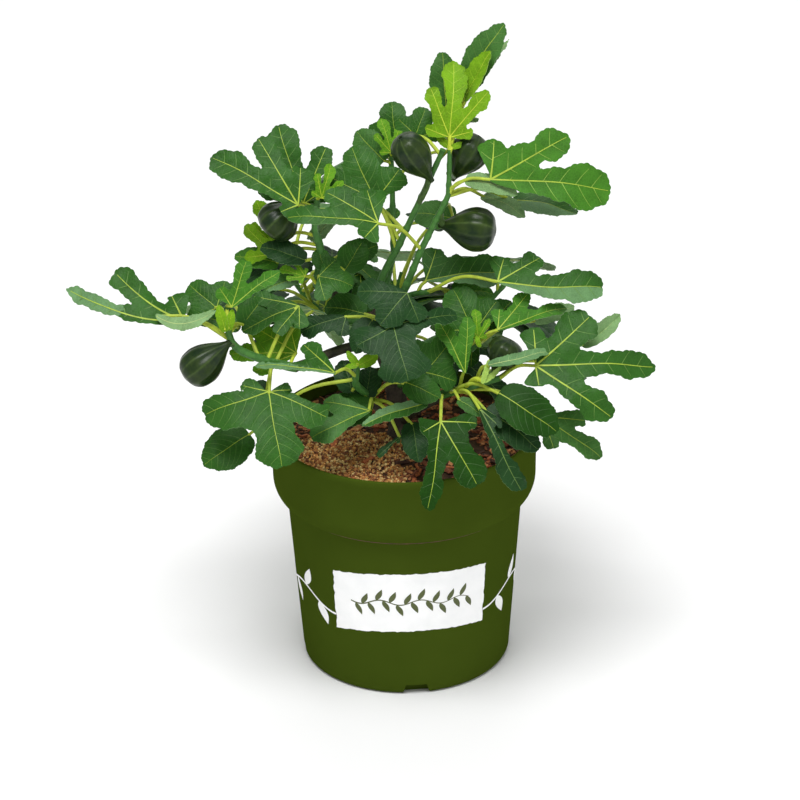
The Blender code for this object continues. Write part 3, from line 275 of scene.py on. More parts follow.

# Leaves with a pale part, and those of the sheen tint, carry a painted sheen; those of the shade tint
# carry painted shade
LEAVES = {
    "top": (
        Leaf(1.00, "young_five", (45, 239), -6, (50, 307), 0, 30, tint="young"),
        Leaf(0.95, "slim", (60, 281), 26, (94, 341), -15, 15, 8, 20, tint="mid", bow=-0.03),
        Leaf(0.98, "slim", (58, 272), 18, (83, 316), -25, 12, 5, 40, tint="young"),
        Leaf(0.97, "sliver", (61, 275), 22, (99, 327), 20, 20, 5, 5, tint="pale", bow=-0.02),
        Leaf(0.97, "wavy", (42, 265), 38, (38, 315), 0, 15, tint="mid"),
        Leaf(0.93, "slim", (45, 229), -8, (33, 241), -20, 20, tint="young"),
        Leaf(0.93, "slim", (46, 229), -8, (58, 233), 20, 20, tint="young"),
        Leaf(0.66, "high_right_three", (81, 200), -24, (190, 192), 5, 32, 6, 12, tint="fresh"),
        Leaf(0.62, "slim", (75, 185), 14, (113, 168), 0, 74, 5, 5, tint="pale"),
        Leaf(0.62, "slim", (59, 200), -16, (106, 188), 0, 60, 5, 5, tint="pale"),
        Leaf(0.60, "wavy", (102, 181), 10, (161, 170), 0, 74, 5, 5, pale="right"),
        Leaf(0.50, "oval", (50, 164), 30, (11, 169), 0, 62, 5, 15, tint="mid"),
        Leaf(0.08, "level_three", (-19, 160), -42, (-102, 166), 0, 55, 15, 8),
    ),
    "second": (
        Leaf(0.05, "round_three", (-22, 180), -8, (-44, 228), -5, 35, 6, 6),
        Leaf(0.95, "broad", (14, 239), 8, (23, 265), 5, 35, 6, 6),
    ),
    "back_top": (
        Leaf(0.98, "young_five", (-8, 225), 34, (-17, 255), -5, 30, tint="bright"),
        Leaf(0.95, "broad", (-4, 236), 52, (-8, 270), 0, 30),
        Leaf(0.90, "oval", (-14, 216), 42, (-39, 243), -10, 30, tint="mid"),
        Leaf(0.40, "oval", (-14, 168), 40, (0, 170), 10, 30, tint="mid"),
    ),
    "upper_left": (
        Leaf(0.75, "high_left_three", (-93, 177), -22, (-171, 220), -5, 40, 12, 6),
        Leaf(0.85, "high_left_five", (-88, 177), 14, (-110, 248), 0, 35),
        Leaf(0.99, "young_five", (-71, 183), -14, (-63, 214), 10, 30, tint="bright"),
        Leaf(0.60, "young_five", (-112, 140), 28, (-129, 181), -10, 20, tint="young"),
        Leaf(0.50, "plain_three", (-115, 132), 14, (-140, 158), -10, 30, tint="young"),
        Leaf(0.45, "wavy", (-110, 124), 18, (-150, 131), 0, 50, tint="fresh"),
        Leaf(0.30, "wavy", (-85, 126), -20, (-126, 138), 0, 62, 6, 20, tint="deep"),
        Leaf(0.35, "oval", (-69, 118), -22, (-74, 137), 0, 50, 12, 12),
        Leaf(0.35, "oval", (-51, 116), -14, (-34, 143), 10, 45, 12, 12),
        Leaf(0.02, "broad", (-74, 112), -34, (-43, 104), 10, 55, 12, 5),
        Leaf(0.15, "even", (-55, 127), 4, (-20, 140), 10, 50, 10, 10),
        Leaf(0.05, "young_five", (-86, 112), -24, (-109, 119), -10, 40, 10, 10, tint="bright"),
        Leaf(0.10, "slim", (-84, 113), -6, (-123, 100), -10, 62, 5, 15, tint="mid", pale="left"),
    ),
    "left": (
        Leaf(0.68, "far_left_three", (-197, 72), -66, (-303, 103), -5, 45, 8, 6, pale="outer", bow=-0.11),
        Leaf(0.67, "strip", (-222, 76), -72, (-168, 82), 0, 40, 10, 10, tint="pale", bow=0.22),
        Leaf(0.90, "broad", (-166, 83), -48, (-191, 104), -10, 45, 6, 6),
        Leaf(1.00, "bright_three", (-153, 84), -76, (-112, 119), 0, 35, 12, 12, tint="fresh"),
        Leaf(0.98, "slim", (-158, 62), -80, (-164, 86), -15, 15, 10, 10, tint="young"),
        Leaf(0.99, "slim", (-156, 63), -80, (-152, 82), 15, 15, 10, 10, tint="young"),
        Leaf(0.75, "slim", (-145, 65), -46, (-190, 77), 0, 60, 5, 5, tint="mid"),
        Leaf(0.80, "oval", (-143, 67), -52, (-125, 92), 5, 40),
        Leaf(0.30, "uneven_five", (-92, 85), -42, (-143, 62), -10, 50),
        Leaf(0.10, "four_low", (-93, 42), -46, (-154, 42), -5, 40, 6, 6, tint="bright"),
        Leaf(0.25, "wide_five", (-119, 7), -92, (-108, -61), 0, 45, 6, 6),
        Leaf(0.25, "oval", (-120, 7), -84, (-130, 17), 0, 45, tint="deep"),
    ),
    "front": (
        Leaf(0.70, "oval", (-136, -31), -74, (-177, -59), -10, 45),
        Leaf(0.75, "pointed_two", (-58, 24), -98, (-130, 36), 0, 60, 5, 30, pale="left"),
        Leaf(0.02, "oval", (-25, -10), -66, (-71, -10), -5, 60),
        Leaf(0.02, "folded_two", (-27, -10), -80, (-82, -30), -10, 55, tint="mid"),
        Leaf(0.02, "spoon", (1, -33), -88, (-20, -51), 0, 50, 5, 5, tint="deep"),
        Leaf(0.02, "even", (11, -21), -76, (17, -56), 10, 50, 5, 5, tint="deep"),
        Leaf(0.03, "oval", (5, 16), -72, (36, 2), 0, 45, 5, 5),
        Leaf(0.98, "slim", (-38, 31), -70, (-48, 44), -10, 30, tint="young"),
        Leaf(0.98, "wavy", (-38, 31), -72, (-20, 40), 10, 35, tint="young"),
        Leaf(0.98, "slim", (-38, 31), -74, (-50, 30), -10, 40, tint="young"),
        Leaf(0.98, "slim", (-37, 32), -68, (-28, 42), 0, 30, tint="young"),
        Leaf(0.55, "oval", (-43, 7), -58, (-52, 36), 0, 40, tint="deep"),
        Leaf(0.50, "oval", (-31, 2), -54, (-26, 30), 0, 40, tint="deep"),
    ),
    "centre": (
        Leaf(0.50, "dark_three", (-6, 67), -76, (7, 17), 0, 45, 5, 5, tint="deep"),
        Leaf(1.00, "wide_three", (7, 97), -60, (-38, 98), -5, 45, 6, 6, tint="deep"),
        Leaf(0.10, "oval", (-31, 78), -30, (-68, 85), -5, 50, 6, 14),
        Leaf(0.10, "arched", (-49, 76), -42, (-90, 62), -10, 45, tint="deep"),
        Leaf(0.30, "oval", (-25, 73), -52, (-40, 43), -15, 40, tint="deep"),
    ),
    "mid_right": (
        Leaf(0.90, "mid_right_three", (89, 107), -30, (184, 101), 5, 52, 5, 6, pale="right", bow=0.05),
        Leaf(0.50, "arched", (23, 108), 6, (92, 118), 5, 45, 5, 20, tint="mature", pale="right"),
        Leaf(0.95, "oval", (47, 98), 12, (84, 97), 10, 60, tint="fresh"),
    ),
    "right": (
        Leaf(0.05, "broad", (22, 25), -64, (47, 53), 15, 35),
        Leaf(0.98, "young_five", (71, 56), -52, (68, 82), 0, 30, tint="bright"),
        Leaf(0.60, "broad", (67, 62), -34, (48, 101), -5, 40, 6, 6),
        Leaf(1.00, "light_three", (88, 63), -56, (149, 85), 10, 45, 6, 25, tint="fresh"),
        Leaf(0.99, "slim", (73, 48), -62, (69, 58), -15, 20, tint="young"),
        Leaf(0.70, "oval", (79, 65), -16, (101, 89), 10, 45, 6, 6),
        Leaf(0.90, "slim", (121, 71), -20, (158, 85), 15, 55, 6, 6, tint="pale"),
    ),
    "right_low": (
        Leaf(1.00, "low_right_five", (122, 31), -80, (232, 34), 8, 42, 6, 6, bow=0.02),
        Leaf(0.95, "slim", (165, 49), -44, (200, 77), 20, 10, 5, 60, tint="pale"),
        # This strip has the sheen tint, a painted sheen
        Leaf(0.60, "strip", (80, 31), -92, (136, 43), 10, 76, 5, 5, tint="sheen", bow=0.05),
        Leaf(0.45, "strip", (75, 15), -92, (81, 37), -10, 20, 8, 8, tint="pale_young"),
        Leaf(0.45, "strip", (76, 16), -92, (92, 30), 10, 25, 8, 8, tint="pale_young"),
        # The shade tint here is painted shade
        Leaf(0.15, "even", (90, 6), -98, (142, -29), 10, 45, 6, 6, tint="shade"),
        Leaf(0.40, "pale_three", (129, -16), -70, (182, -52), 12, 45, tint="mid"),
        Leaf(0.02, "strip", (25, -3), -84, (-34, -24), 5, 62, 5, 5, tint="mature", pale="right"),
        # The shade tint here is painted shade
        Leaf(0.05, "drooping_five", (37, -19), -112, (30, -99), 0, 38, 5, 12, tint="shade"),
        Leaf(0.30, "spoon", (73, -9), -104, (109, -84), 10, 38, 10, 10, tint="deep"),
        Leaf(0.25, "wavy", (77, -9), -92, (126, -44), 8, 50, 8, 8, tint="deep"),
        Leaf(0.20, "wavy", (53, 0), -84, (75, -14), 5, 55, 10, 10, tint="mid"),
        Leaf(0.35, "forked", (59, 25), -72, (38, 74), -5, 30, 10, 10, tint="fresh"),
    ),
}

FIGS = {
    "top": (
        Fig(0.80, (48, 201), 4, (72, 239), 6, 16.5),
        Fig(0.44, (37, 159), -8, (87, 153), -16, 19.5),
    ),
    "second": (Fig(0.50, (28, 200), -24, (0, 238), -34, 16),),
    "upper_left": (Fig(0.80, (-94, 179), -4, (-120, 152), -4, 18.5),),
    "left": (Fig(0.62, (-155, 52), -72, (-195, 20), -78, 17.5),),
    "right_low": (Fig(0.62, (85, 25), -62, (101, 54), -58, 16),),
}

# The filling leaves' seeded rule: lengths in mm and angles in degrees
FILL_SEED = 20
FILL_START = 0.1
FILL_SWAY = 0.5
GOLDEN_TURN = math.radians(137.5)
FILL_TRIES = 60
FILL_STALK = (22, 85)
FILL_LENGTH = (46, 94)
FILL_STALK_RISE = (5, 60)
FILL_LIFT = (35, 78)
FILL_FOLD = (2, 14)
FILL_FORMS = ("broad_five", "plain_three", "plain_five", "broad", "oval")
FILL_TINTS = ("deep", "deep", "mature", "mature", "mid")

# A filling leaf is kept where the solids have it: its test points lie this near their surface
TEST_REACH = 2.2 * MM
TEST_POINTS = ((0, 0.12), (0, 0.5), (0, 0.97), (0.06, 0.4), (-0.06, 0.4))

# Places, as seen, that show the ground, the rim or the soil: no filling leaf covers them
OPEN_LEFT = ((-98, 97), (-64, 50), (-52, 50), (-29, 123), (-74, 15))
OPEN_RIGHT = ((95, 98), (106, 52), (134, 75), (132, 92), (174, 50), (34, 106), (30, 221), (52, -6))

# Fine leaf shapes, in leaf lengths
OUTER_BOUND = math.radians(172)
NOTCH_MARGIN = 0.036
CLEAR_OF_NOTCH = 1.04
SLIT_HALF = 0.010
TOOTH = 0.058
TOOTH_DEPTH = 0.008
EDGE_WAVES = ((0.145, 0.0055), (0.247, 0.0070))
TOOTH_STEPS = 4
CURVE_STEPS = 10
STALK_HALF = 0.014
VEIN_STEP = 0.036
SIDE_VEIN_SPACING = 0.135
SIDE_VEIN_START = 0.16
SIDE_VEIN_END = 0.92
SIDE_VEIN_TURN = (64, 20)
SIDE_VEIN_STEPS = 16
MIN_SPACING = 0.017
PUCKER = 0.016
PUCKER_REACH = 0.028
MAIN_VEIN_HALF = (0.0080, 0.0021)
SIDE_VEIN_HALF = (0.0034, 0.0012)
VEIN_LIFT = 0.0012
MAIN_VEIN_RIDGE = 0.005
UNDER_VEIN_RIDGE = 0.012
SIDE_VEIN_RIDGE = 0.001
UNDER_SIDE_VEIN_RIDGE = 0.003
VEIN_TIP_RIDGE = 0.2
MAIN_VEIN_REACH = 0.985
MAIN_SPACING_SHARE = 0.7
SIDE_VEIN_STAGGER = 0.02
LOBE_SLACK = 0.002
FADE_REACH = 0.3
FADE_START = 0.2
TINY = 1e-9
LEAST_REACH = 1e-3
LEAST_STEP = 1e-6
CUT_MERGE = 1e-6
LEAF_SHARP = 60
VEIN_SHARP = 80

# A blade's bends, in leaf lengths: waves of the middle line as (size, how often), ruffles that
# grow to the rim, and the tip's curl from a reach on
SIDE_WAVE = (0.016, 6)
LENGTH_WAVE = (0.010, 7)
RUFFLE = 0.034
RUFFLE_RANGE = (0.6, 1.3)
RUFFLE_WAVES = (4, 6.5)
RUFFLE_CENTRE = 0.05
SMALL_RUFFLE = 0.5
SMALL_WAVES = (9, 3)
TIP_CURL = 0.16
CURL_START = 0.6
NORMAL_STEP = 0.004


def rolled(across, up, roll):
    """A place as seen, turned about the view's middle."""
    cos_roll = math.cos(roll)
    sin_roll = math.sin(roll)
    return across * cos_roll + up * sin_roll, up * cos_roll - across * sin_roll


def seen(across, up, deep):
    """The point at a depth behind the pot's axis that shows at (across, up) from the front."""
    right, above = rolled(across, up, VIEW_ROLL)
    spot = VIEW_MIDDLE + Vector((right, 0, 0)) + UPWARD * above
    share = (deep - EYE.y) / (spot.y - EYE.y)
    return (EYE + (spot - EYE) * share) * MM


def on_sheet(spot):
    """Where a point shows from the front, as (across, up)."""
    ray = spot / MM - EYE
    away = EYE + ray * (VIEW_DISTANCE / -ray.dot(TO_EYE)) - VIEW_MIDDLE
    return rolled(away.x, away.dot(UPWARD), -VIEW_ROLL)


def facing(turn, lift):
    """The direction turned from the front towards +X, and lifted from level, in degrees."""
    turn = math.radians(turn)
    lift = math.radians(lift)
    level = math.cos(lift)
    return Vector((math.sin(turn) * level, -math.cos(turn) * level, math.sin(lift)))


def seen_on_plane(across, up, point, normal):
    """The point of a plane that shows at (across, up) from the front."""
    eye = EYE * MM
    ray = seen(across, up, 0) - eye
    return eye + ray * ((point - eye).dot(normal) / ray.dot(normal))


def smooth_path(points, steps):
    """Points along a smooth curve through the given ones."""
    padded = [2 * points[0] - points[1], *points, 2 * points[-1] - points[-2]]
    path = []
    for before, start, end, after in zip(padded, padded[1:], padded[2:], padded[3:]):
        for step in range(steps):
            t = step / steps
            bend = 2 * before - 5 * start + 4 * end - after
            twist = 3 * start - before - 3 * end + after
            path.append(0.5 * (2 * start + (end - before) * t + bend * t**2 + twist * t**3))
    path.append(points[-1])
    return path


def point_at(path, share):
    """The point at a share of a path's length."""
    lengths = [(b - a).length for a, b in zip(path, path[1:])]
    left = share * sum(lengths)
    for a, b, length in zip(path, path[1:], lengths):
        if left <= length:
            return a.lerp(b, left / length)
        left -= length
    return path[-1].copy()


def taper(count, foot, tip):
    """Radii that fall evenly from foot to tip."""
    return [foot + (tip - foot) * step / (count - 1) for step in range(count)]


def trunk_path():
    """The trunk's middle line, bowed between its foot and its top."""
    foot = TRUNK_FOOT + Vector((0, 0, SOIL_TOP + GAP))
    path = []
    for step in range(TRUNK_RINGS):
        share = step / (TRUNK_RINGS - 1)
        path.append(foot.lerp(TRUNK_TOP, share) + TRUNK_BOW * math.sin(math.pi * share))
    return path


def bough_spots(name):
    """The points that a bough's smooth path goes through."""
    bough = BOUGHS[name]
    return [point_at(trunk_path(), bough.at), *(seen(*spot) for spot in bough.way)]


def stem_spots(name, way):
    """The points that a mass's stem goes through: its start, and those of its smooth path."""
    path = smooth_path(bough_spots(name), BOUGH_RINGS)
    onward = (path[-1] - path[-2]).normalized()
    start = path[-1] + onward * GAP
    return start, [start + onward * STEM_LEAD, *(seen(*spot) for spot in way)]


def stem_path(name, way):
    """A mass's stem from its start along a way as seen."""
    start, spots = stem_spots(name, way)
    return [start, *smooth_path(spots, BOUGH_RINGS)]


def shoot_way(name):
    """The way of a mass's stem as it is drawn here, where it carries its leaves and figs."""
    return SHOOT_WAYS.get(name, MASSES[name].way)


def nearest_on(path, spot):
    """The point of a path that lies nearest to a given one."""
    places = [point_at(path, step / SHOOT_PLACES) for step in range(SHOOT_PLACES + 1)]
    return min(places, key=lambda place: (place - spot).length)


class Shape:
    """A mesh in the making: points and faces, each face with a material's place."""

    def __init__(self):
        self.points = []
        self.faces = []
        self.slots = []
        self.count = 0

    def add(self, points, faces, slot):
        """Add points and the faces between them, all of one material."""
        self.points.extend(np.asarray(points).tolist())
        first = self.count
        self.faces.extend([[first + index for index in face] for face in faces])
        self.slots.extend([slot] * len(faces))
        self.count += len(points)

    def make(self, name, materials, sharp=50):
        """The finished object, shaded smooth between sharp edges."""
        mesh = bpy.data.meshes.new(name)
        mesh.from_pydata(self.points, [], self.faces)
        mesh.polygons.foreach_set("material_index", self.slots)
        for material in materials:
            mesh.materials.append(material)
        mesh.shade_smooth()
        mesh.set_sharp_from_angle(angle=math.radians(sharp))
        thing = bpy.data.objects.new(name, mesh)
        bpy.context.scene.collection.objects.link(thing)
        print("piece", name, len(mesh.polygons))
        return thing


def both_halves(half, end):
    """The corners of a whole lobe from left to right."""
    return (*((out, -side) for out, side in half), end, *reversed(half))


def lobe_points(lobe, spots):
    """The outline points of one lobe."""
    turn, reach, half = lobe
    angle = math.radians(turn)
    along = np.array((math.sin(angle), math.cos(angle))) * reach
    across = np.array((math.cos(angle), -math.sin(angle))) * half
    return [along * out + across * side for out, side in spots]


def sector_bounds(form):
    """The angles between which each lobe is held, from left to right."""
    turns = [math.radians(lobe[0]) for lobe in FORMS[form][0]]
    between = [(first + second) / 2 for first, second in zip(turns, turns[1:])]
    return np.array([-OUTER_BOUND, *between, OUTER_BOUND])


def held(points, lows, highs, margin):
    """Points turned back about the leaf's foot until they lie between two angles."""
    reach = np.hypot(points[:, 0], points[:, 1])
    slack = np.minimum(margin / np.maximum(reach, LEAST_REACH), (highs - lows) / 2)
    turn = np.clip(np.arctan2(points[:, 0], points[:, 1]), lows + slack, highs - slack)
    return np.stack([np.sin(turn), np.cos(turn)], axis=1) * reach[:, None]


def coarse_outline(form):
    """A leaf's outline from its foot's two corners round its lobes, and its notches' places."""
    lobes, notches = FORMS[form]
    bounds = sector_bounds(form)
    points = [np.array((STALK_HALF, 0.0)), np.array((-STALK_HALF, 0.0))]
    reaches = (0, *notches, 0)
    places = []
    corners = both_halves(HALF_LOBE, LOBE_END) if notches else both_halves(HALF_OVAL, OVAL_END)
    for index, lobe in enumerate(lobes):
        spots = np.array(lobe_points(lobe, corners))
        spots = held(spots, bounds[index], bounds[index + 1], NOTCH_MARGIN)
        first = 1 if np.hypot(*spots[0]) < reaches[index] * CLEAR_OF_NOTCH else 0
        last = -1 if np.hypot(*spots[-1]) < reaches[index + 1] * CLEAR_OF_NOTCH else len(spots)
        points += list(spots[first:last])
        if index < len(notches):
            angle = bounds[index + 1]
            places.append(len(points))
            points.append(np.array((math.sin(angle), math.cos(angle))) * notches[index])
    return points, places


def smooth_loop(points):
    """A smooth curve from the second point round to the first, which keeps its sharp turns."""
    count = len(points)
    curve = []
    for index in range(1, count):
        before, start = points[index - 1], points[index]
        end, after = points[(index + 1) % count], points[(index + 2) % count]
        knots = [0.0]
        for a, b in ((before, start), (start, end), (end, after)):
            knots.append(knots[-1] + max(np.linalg.norm(b - a), LEAST_STEP) ** 0.5)
        for step in range(CURVE_STEPS):
            t = knots[1] + (knots[2] - knots[1]) * step / CURVE_STEPS
            curve.append(centripetal(before, start, end, after, knots, t))
    curve.append(points[0])
    return np.array(curve)


def centripetal(before, start, end, after, knots, t):
    """A point of a centripetal curve between its two middle points."""
    k0, k1, k2, k3 = knots
    a1 = (k1 - t) / (k1 - k0) * before + (t - k0) / (k1 - k0) * start
    a2 = (k2 - t) / (k2 - k1) * start + (t - k1) / (k2 - k1) * end
    a3 = (k3 - t) / (k3 - k2) * end + (t - k2) / (k3 - k2) * after
    b1 = (k2 - t) / (k2 - k0) * a1 + (t - k0) / (k2 - k0) * a2
    b2 = (k3 - t) / (k3 - k1) * a2 + (t - k1) / (k3 - k1) * a3
    return (k2 - t) / (k2 - k1) * b1 + (t - k1) / (k2 - k1) * b2


def left_of(ahead):
    """Directions of length 1 to the left of given ones."""
    ahead = ahead / (np.linalg.norm(ahead, axis=1)[:, None] + TINY)
    return np.stack([-ahead[:, 1], ahead[:, 0]], axis=1)


def leaf_rim(form):
    """A form's outline sampled evenly, with rounded teeth and waves, held clear of itself."""
    rng = random.Random(form)
    control, notch_places = coarse_outline(form)
    curve = smooth_loop(control)
    steps = np.linalg.norm(np.diff(curve, axis=0), axis=1)
    along = np.concatenate([[0], np.cumsum(steps)])
    count = max(4, round(along[-1] / TOOTH)) * TOOTH_STEPS
    places = np.linspace(0, along[-1], count + 1)
    points = np.stack([np.interp(places, along, curve[:, axis]) for axis in (0, 1)], axis=1)
    ahead = np.roll(points, -1, axis=0) - np.roll(points, 1, axis=0)
    ahead[0] = points[1] - points[0]
    ahead[-1] = points[-1] - points[-2]
    swell = (np.abs(np.sin(np.arange(count + 1) * math.pi / TOOTH_STEPS)) - 0.5) * TOOTH_DEPTH
    for length, depth in EDGE_WAVES:
        swell += np.sin(places * math.tau / length + rng.uniform(0, math.tau)) * depth
    fade = np.clip(np.hypot(points[:, 0], points[:, 1]) / FADE_REACH - FADE_START, 0, 1)
    waved = points + left_of(ahead) * (swell * fade)[:, None]
    notch_along = along[[(place - 1) * CURVE_STEPS for place in notch_places]]
    owner = np.searchsorted(notch_along, places)
    bounds = sector_bounds(form)
    waved[1:-1] = held(waved, bounds[owner], bounds[owner + 1], SLIT_HALF)[1:-1]
    return waved


def inside(points, polygon):
    """Which points lie in a polygon."""
    x, y = points[:, 0][:, None], points[:, 1][:, None]
    ax, ay = polygon[:, 0][None], polygon[:, 1][None]
    bx, by = np.roll(ax, -1, axis=1), np.roll(ay, -1, axis=1)
    straddles = (ay > y) != (by > y)
    crossing = ax + (bx - ax) * (y - ay) / np.where(by == ay, 1e-12, by - ay)
    return (straddles & (x < crossing)).sum(axis=1) % 2 == 1


def line_distance(points, start, end):
    """The distance of points from a straight line's stretch."""
    along = end - start
    share = np.clip(((points - start) @ along) / (along @ along), 0, 1)
    return np.linalg.norm(points - start - share[:, None] * along, axis=1)


def branch_moves(ahead, side):
    """The steps of a side vein that leaves its main vein and curves towards its direction."""
    turn = np.radians(np.linspace(*SIDE_VEIN_TURN, SIDE_VEIN_STEPS)) * side
    cos_turn, sin_turn = np.cos(turn), np.sin(turn)
    dx = ahead[0] * cos_turn + ahead[1] * sin_turn
    dy = ahead[1] * cos_turn - ahead[0] * sin_turn
    moving = np.arange(SIDE_VEIN_STEPS)[:, None] > 0
    return np.stack([dx, dy], axis=1) * VEIN_STEP * moving


def side_lines(index, tips, polygon, offset):
    """Lines that branch from one main vein to both sides, each until it would leave its lobe."""
    tip = tips[index]
    length = np.linalg.norm(tip)
    ahead = tip / length
    foot = np.zeros(2)
    others = [other for place, other in enumerate(tips) if place != index]
    lines = []
    for side in (-1, 1):
        moves = np.cumsum(branch_moves(ahead, side), axis=0)
        place = SIDE_VEIN_START + offset + (SIDE_VEIN_STAGGER if side > 0 else 0)
        while place < SIDE_VEIN_END * length:
            line = ahead * place + moves
            fine = inside(line, polygon)
            own = line_distance(line, foot, tip)
            for other in others:
                fine &= own <= line_distance(line, foot, other) + LOBE_SLACK
            fine[0] = True
            stop = len(fine) if fine.all() else int(np.argmin(fine))
            if stop > 1:
                lines.append(line[:stop])
            place += SIDE_VEIN_SPACING
    return lines


def thin_out(points, kept, spacing):
    """The points that keep their distance from the kept ones and from each other."""
    chosen = list(kept)
    fresh = []
    for point in points:
        near = np.array(chosen)
        if ((near - point) ** 2).sum(axis=1).min() > spacing**2:
            chosen.append(point)
            fresh.append(point)
    return fresh


def strip(line, halves):
    """A flat strip along a line: rows of right, middle and left points."""
    left = left_of(np.gradient(line, axis=0)) * np.asarray(halves)[:, None]
    return np.stack([line - left, line, line + left], axis=1).reshape(-1, 2)


def strip_faces(rows):
    """The faces of a strip of rows of three points, seen from above."""
    faces = []
    for row in range(rows - 1):
        low, high = 3 * row, 3 * row + 3
        faces.append((low, high, high + 1, low + 1))
        faces.append((low + 1, high + 1, high + 2, low + 2))
    return faces


class FlatLeaf:
    """A flat leaf of length 1: its blade's points and faces, and its veins as strips."""

    def __init__(self, form):
        self.rim = leaf_rim(form)
        tips = [lobe_points(lobe, ((MAIN_VEIN_REACH, 0),))[0] for lobe in FORMS[form][0]]
        mains = [self.main_line(tip) for tip in tips]
        sides = []
        middles = []
        for index in range(len(tips)):
            sides += side_lines(index, tips, self.rim, 0)
            middles += side_lines(index, tips, self.rim, SIDE_VEIN_SPACING / 2)
        self.lines = [*mains, *sides]
        self.fill_blade(mains, sides, middles)
        self.veins = [self.vein(line, MAIN_VEIN_HALF, True) for line in mains]
        self.veins += [self.vein(line, SIDE_VEIN_HALF, False) for line in sides]

    def main_line(self, tip):
        """A main vein's line from the foot to a lobe's tip."""
        count = max(3, round(np.linalg.norm(tip) / VEIN_STEP))
        return np.linspace(0, 1, count + 1)[:, None] * tip[None]

    def vein(self, line, halves, main):
        """A vein's strip with its points' heights, and whether it is a main one."""
        points = strip(line, taper(len(line), *halves))
        return points, self.pucker(points), main

    def within(self, lines):
        """The points of some lines that lie on the leaf."""
        points = [point for line in lines for point in line]
        return [point for point, fine in zip(points, inside(np.array(points), self.rim)) if fine]

    def fill_blade(self, mains, sides, middles):
        """Cut the blade into triangles with points along its veins and between them."""
        rim = list(self.rim)
        main_points = self.within([line[1:] for line in mains])
        fixed = thin_out(main_points, rim, MIN_SPACING * MAIN_SPACING_SHARE)
        free = thin_out(self.within([*sides, *middles]), rim + fixed, MIN_SPACING)
        points = [Vector(point) for point in (*rim, *fixed, *free)]
        outline = list(range(len(rim)))
        found, _, faces, *_ = delaunay_2d_cdt(points, [], [outline], 1, CUT_MERGE)
        self.points = np.array([tuple(point) for point in found])
        self.faces = [face if self.winding(face) > 0 else face[::-1] for face in faces]
        self.heights = self.pucker(self.points)

    def winding(self, face):
        """Twice a face's signed area."""
        a, b, c = (self.points[index] for index in face[:3])
        return (b[0] - a[0]) * (c[1] - a[1]) - (b[1] - a[1]) * (c[0] - a[0])

    def pucker(self, points):
        """How far the blade bulges up between its veins."""
        nearest = np.full(len(points), np.inf)
        for line in self.lines:
            for start, end in zip(line, line[1:]):
                nearest = np.minimum(nearest, line_distance(points, start, end))
        return PUCKER * (1 - np.exp(-nearest / PUCKER_REACH))


FLAT = {}


def flat_leaf(form):
    """The flat leaf of a form, made once."""
    if form not in FLAT:
        FLAT[form] = FlatLeaf(form)
    return FLAT[form]


class Sway(NamedTuple):
    """How one leaf differs from others of its form."""

    ruffle: float
    waves: float
    phase: float
    shift: float


def new_sway(rng):
    """A leaf's own ruffles."""
    ruffle = RUFFLE * rng.uniform(*RUFFLE_RANGE)
    waves = rng.uniform(*RUFFLE_WAVES)
    return Sway(ruffle, waves, rng.uniform(0, math.tau), rng.uniform(0, math.tau))


def wave(kind, place, shift):
    """A wave of (size, how often) at a place."""
    size, often = kind
    return size * np.sin(often * place + shift)


def surface(flat, leaf, sway):
    """The bent blade's points for flat ones, in leaf lengths."""
    x = flat[:, 0] + wave(SIDE_WAVE, flat[:, 1], sway.shift) * flat[:, 1]
    x = x + 4 * leaf.bow * flat[:, 1] * (1 - flat[:, 1])
    y = flat[:, 1] + wave(LENGTH_WAVE, flat[:, 0], sway.shift)
    fold = np.radians(np.where(x > 0, leaf.right, leaf.left))
    width = np.abs(x)
    rise = width * np.sin(fold) + ARCH * y * (1 - y) - SIDE_DROOP * width**2
    reach = np.hypot(x, y)
    turn = np.arctan2(x, y + RUFFLE_CENTRE)
    rise += sway.ruffle * reach**2 * np.sin(sway.waves * turn + sway.phase)
    small = np.sin(SMALL_WAVES[0] * reach + SMALL_WAVES[1] * turn + sway.shift)
    rise += SMALL_RUFFLE * sway.ruffle * reach * small
    rise -= TIP_CURL * np.maximum(0, reach - CURL_START) ** 2
    return np.stack([x * np.cos(fold), y, rise], axis=1)


def surface_normals(flat, leaf, sway):
    """The bent blade's directions straight up from it."""
    sides = []
    for step in ((NORMAL_STEP, 0), (0, NORMAL_STEP)):
        sides.append(surface(flat + step, leaf, sway) - surface(flat - step, leaf, sway))
    normals = np.cross(*sides)
    return normals / np.linalg.norm(normals, axis=1)[:, None]


def leaf_matrix(foot, tip, normal):
    """Places a blade of length 1 from its foot to its tip with its upper face to the normal."""
    along = tip - foot
    length = along.length
    along.normalize()
    above = (normal - along * normal.dot(along)).normalized()
    side = along.cross(above)
    turn = Matrix((side, along, above)).transposed().to_4x4()
    return Matrix.Translation(foot) @ turn @ Matrix.Scale(length, 4)


def placed(points, matrix):
    """Points moved by a matrix."""
    turn = np.array(matrix.to_3x3())
    return points @ turn.T + np.array(matrix.translation)


class Tint(NamedTuple):
    """A leaf's colour, the tint of its underside, and the colours of its main and side veins."""

    colour: tuple
    underside: str
    main_vein: str
    side_vein: str


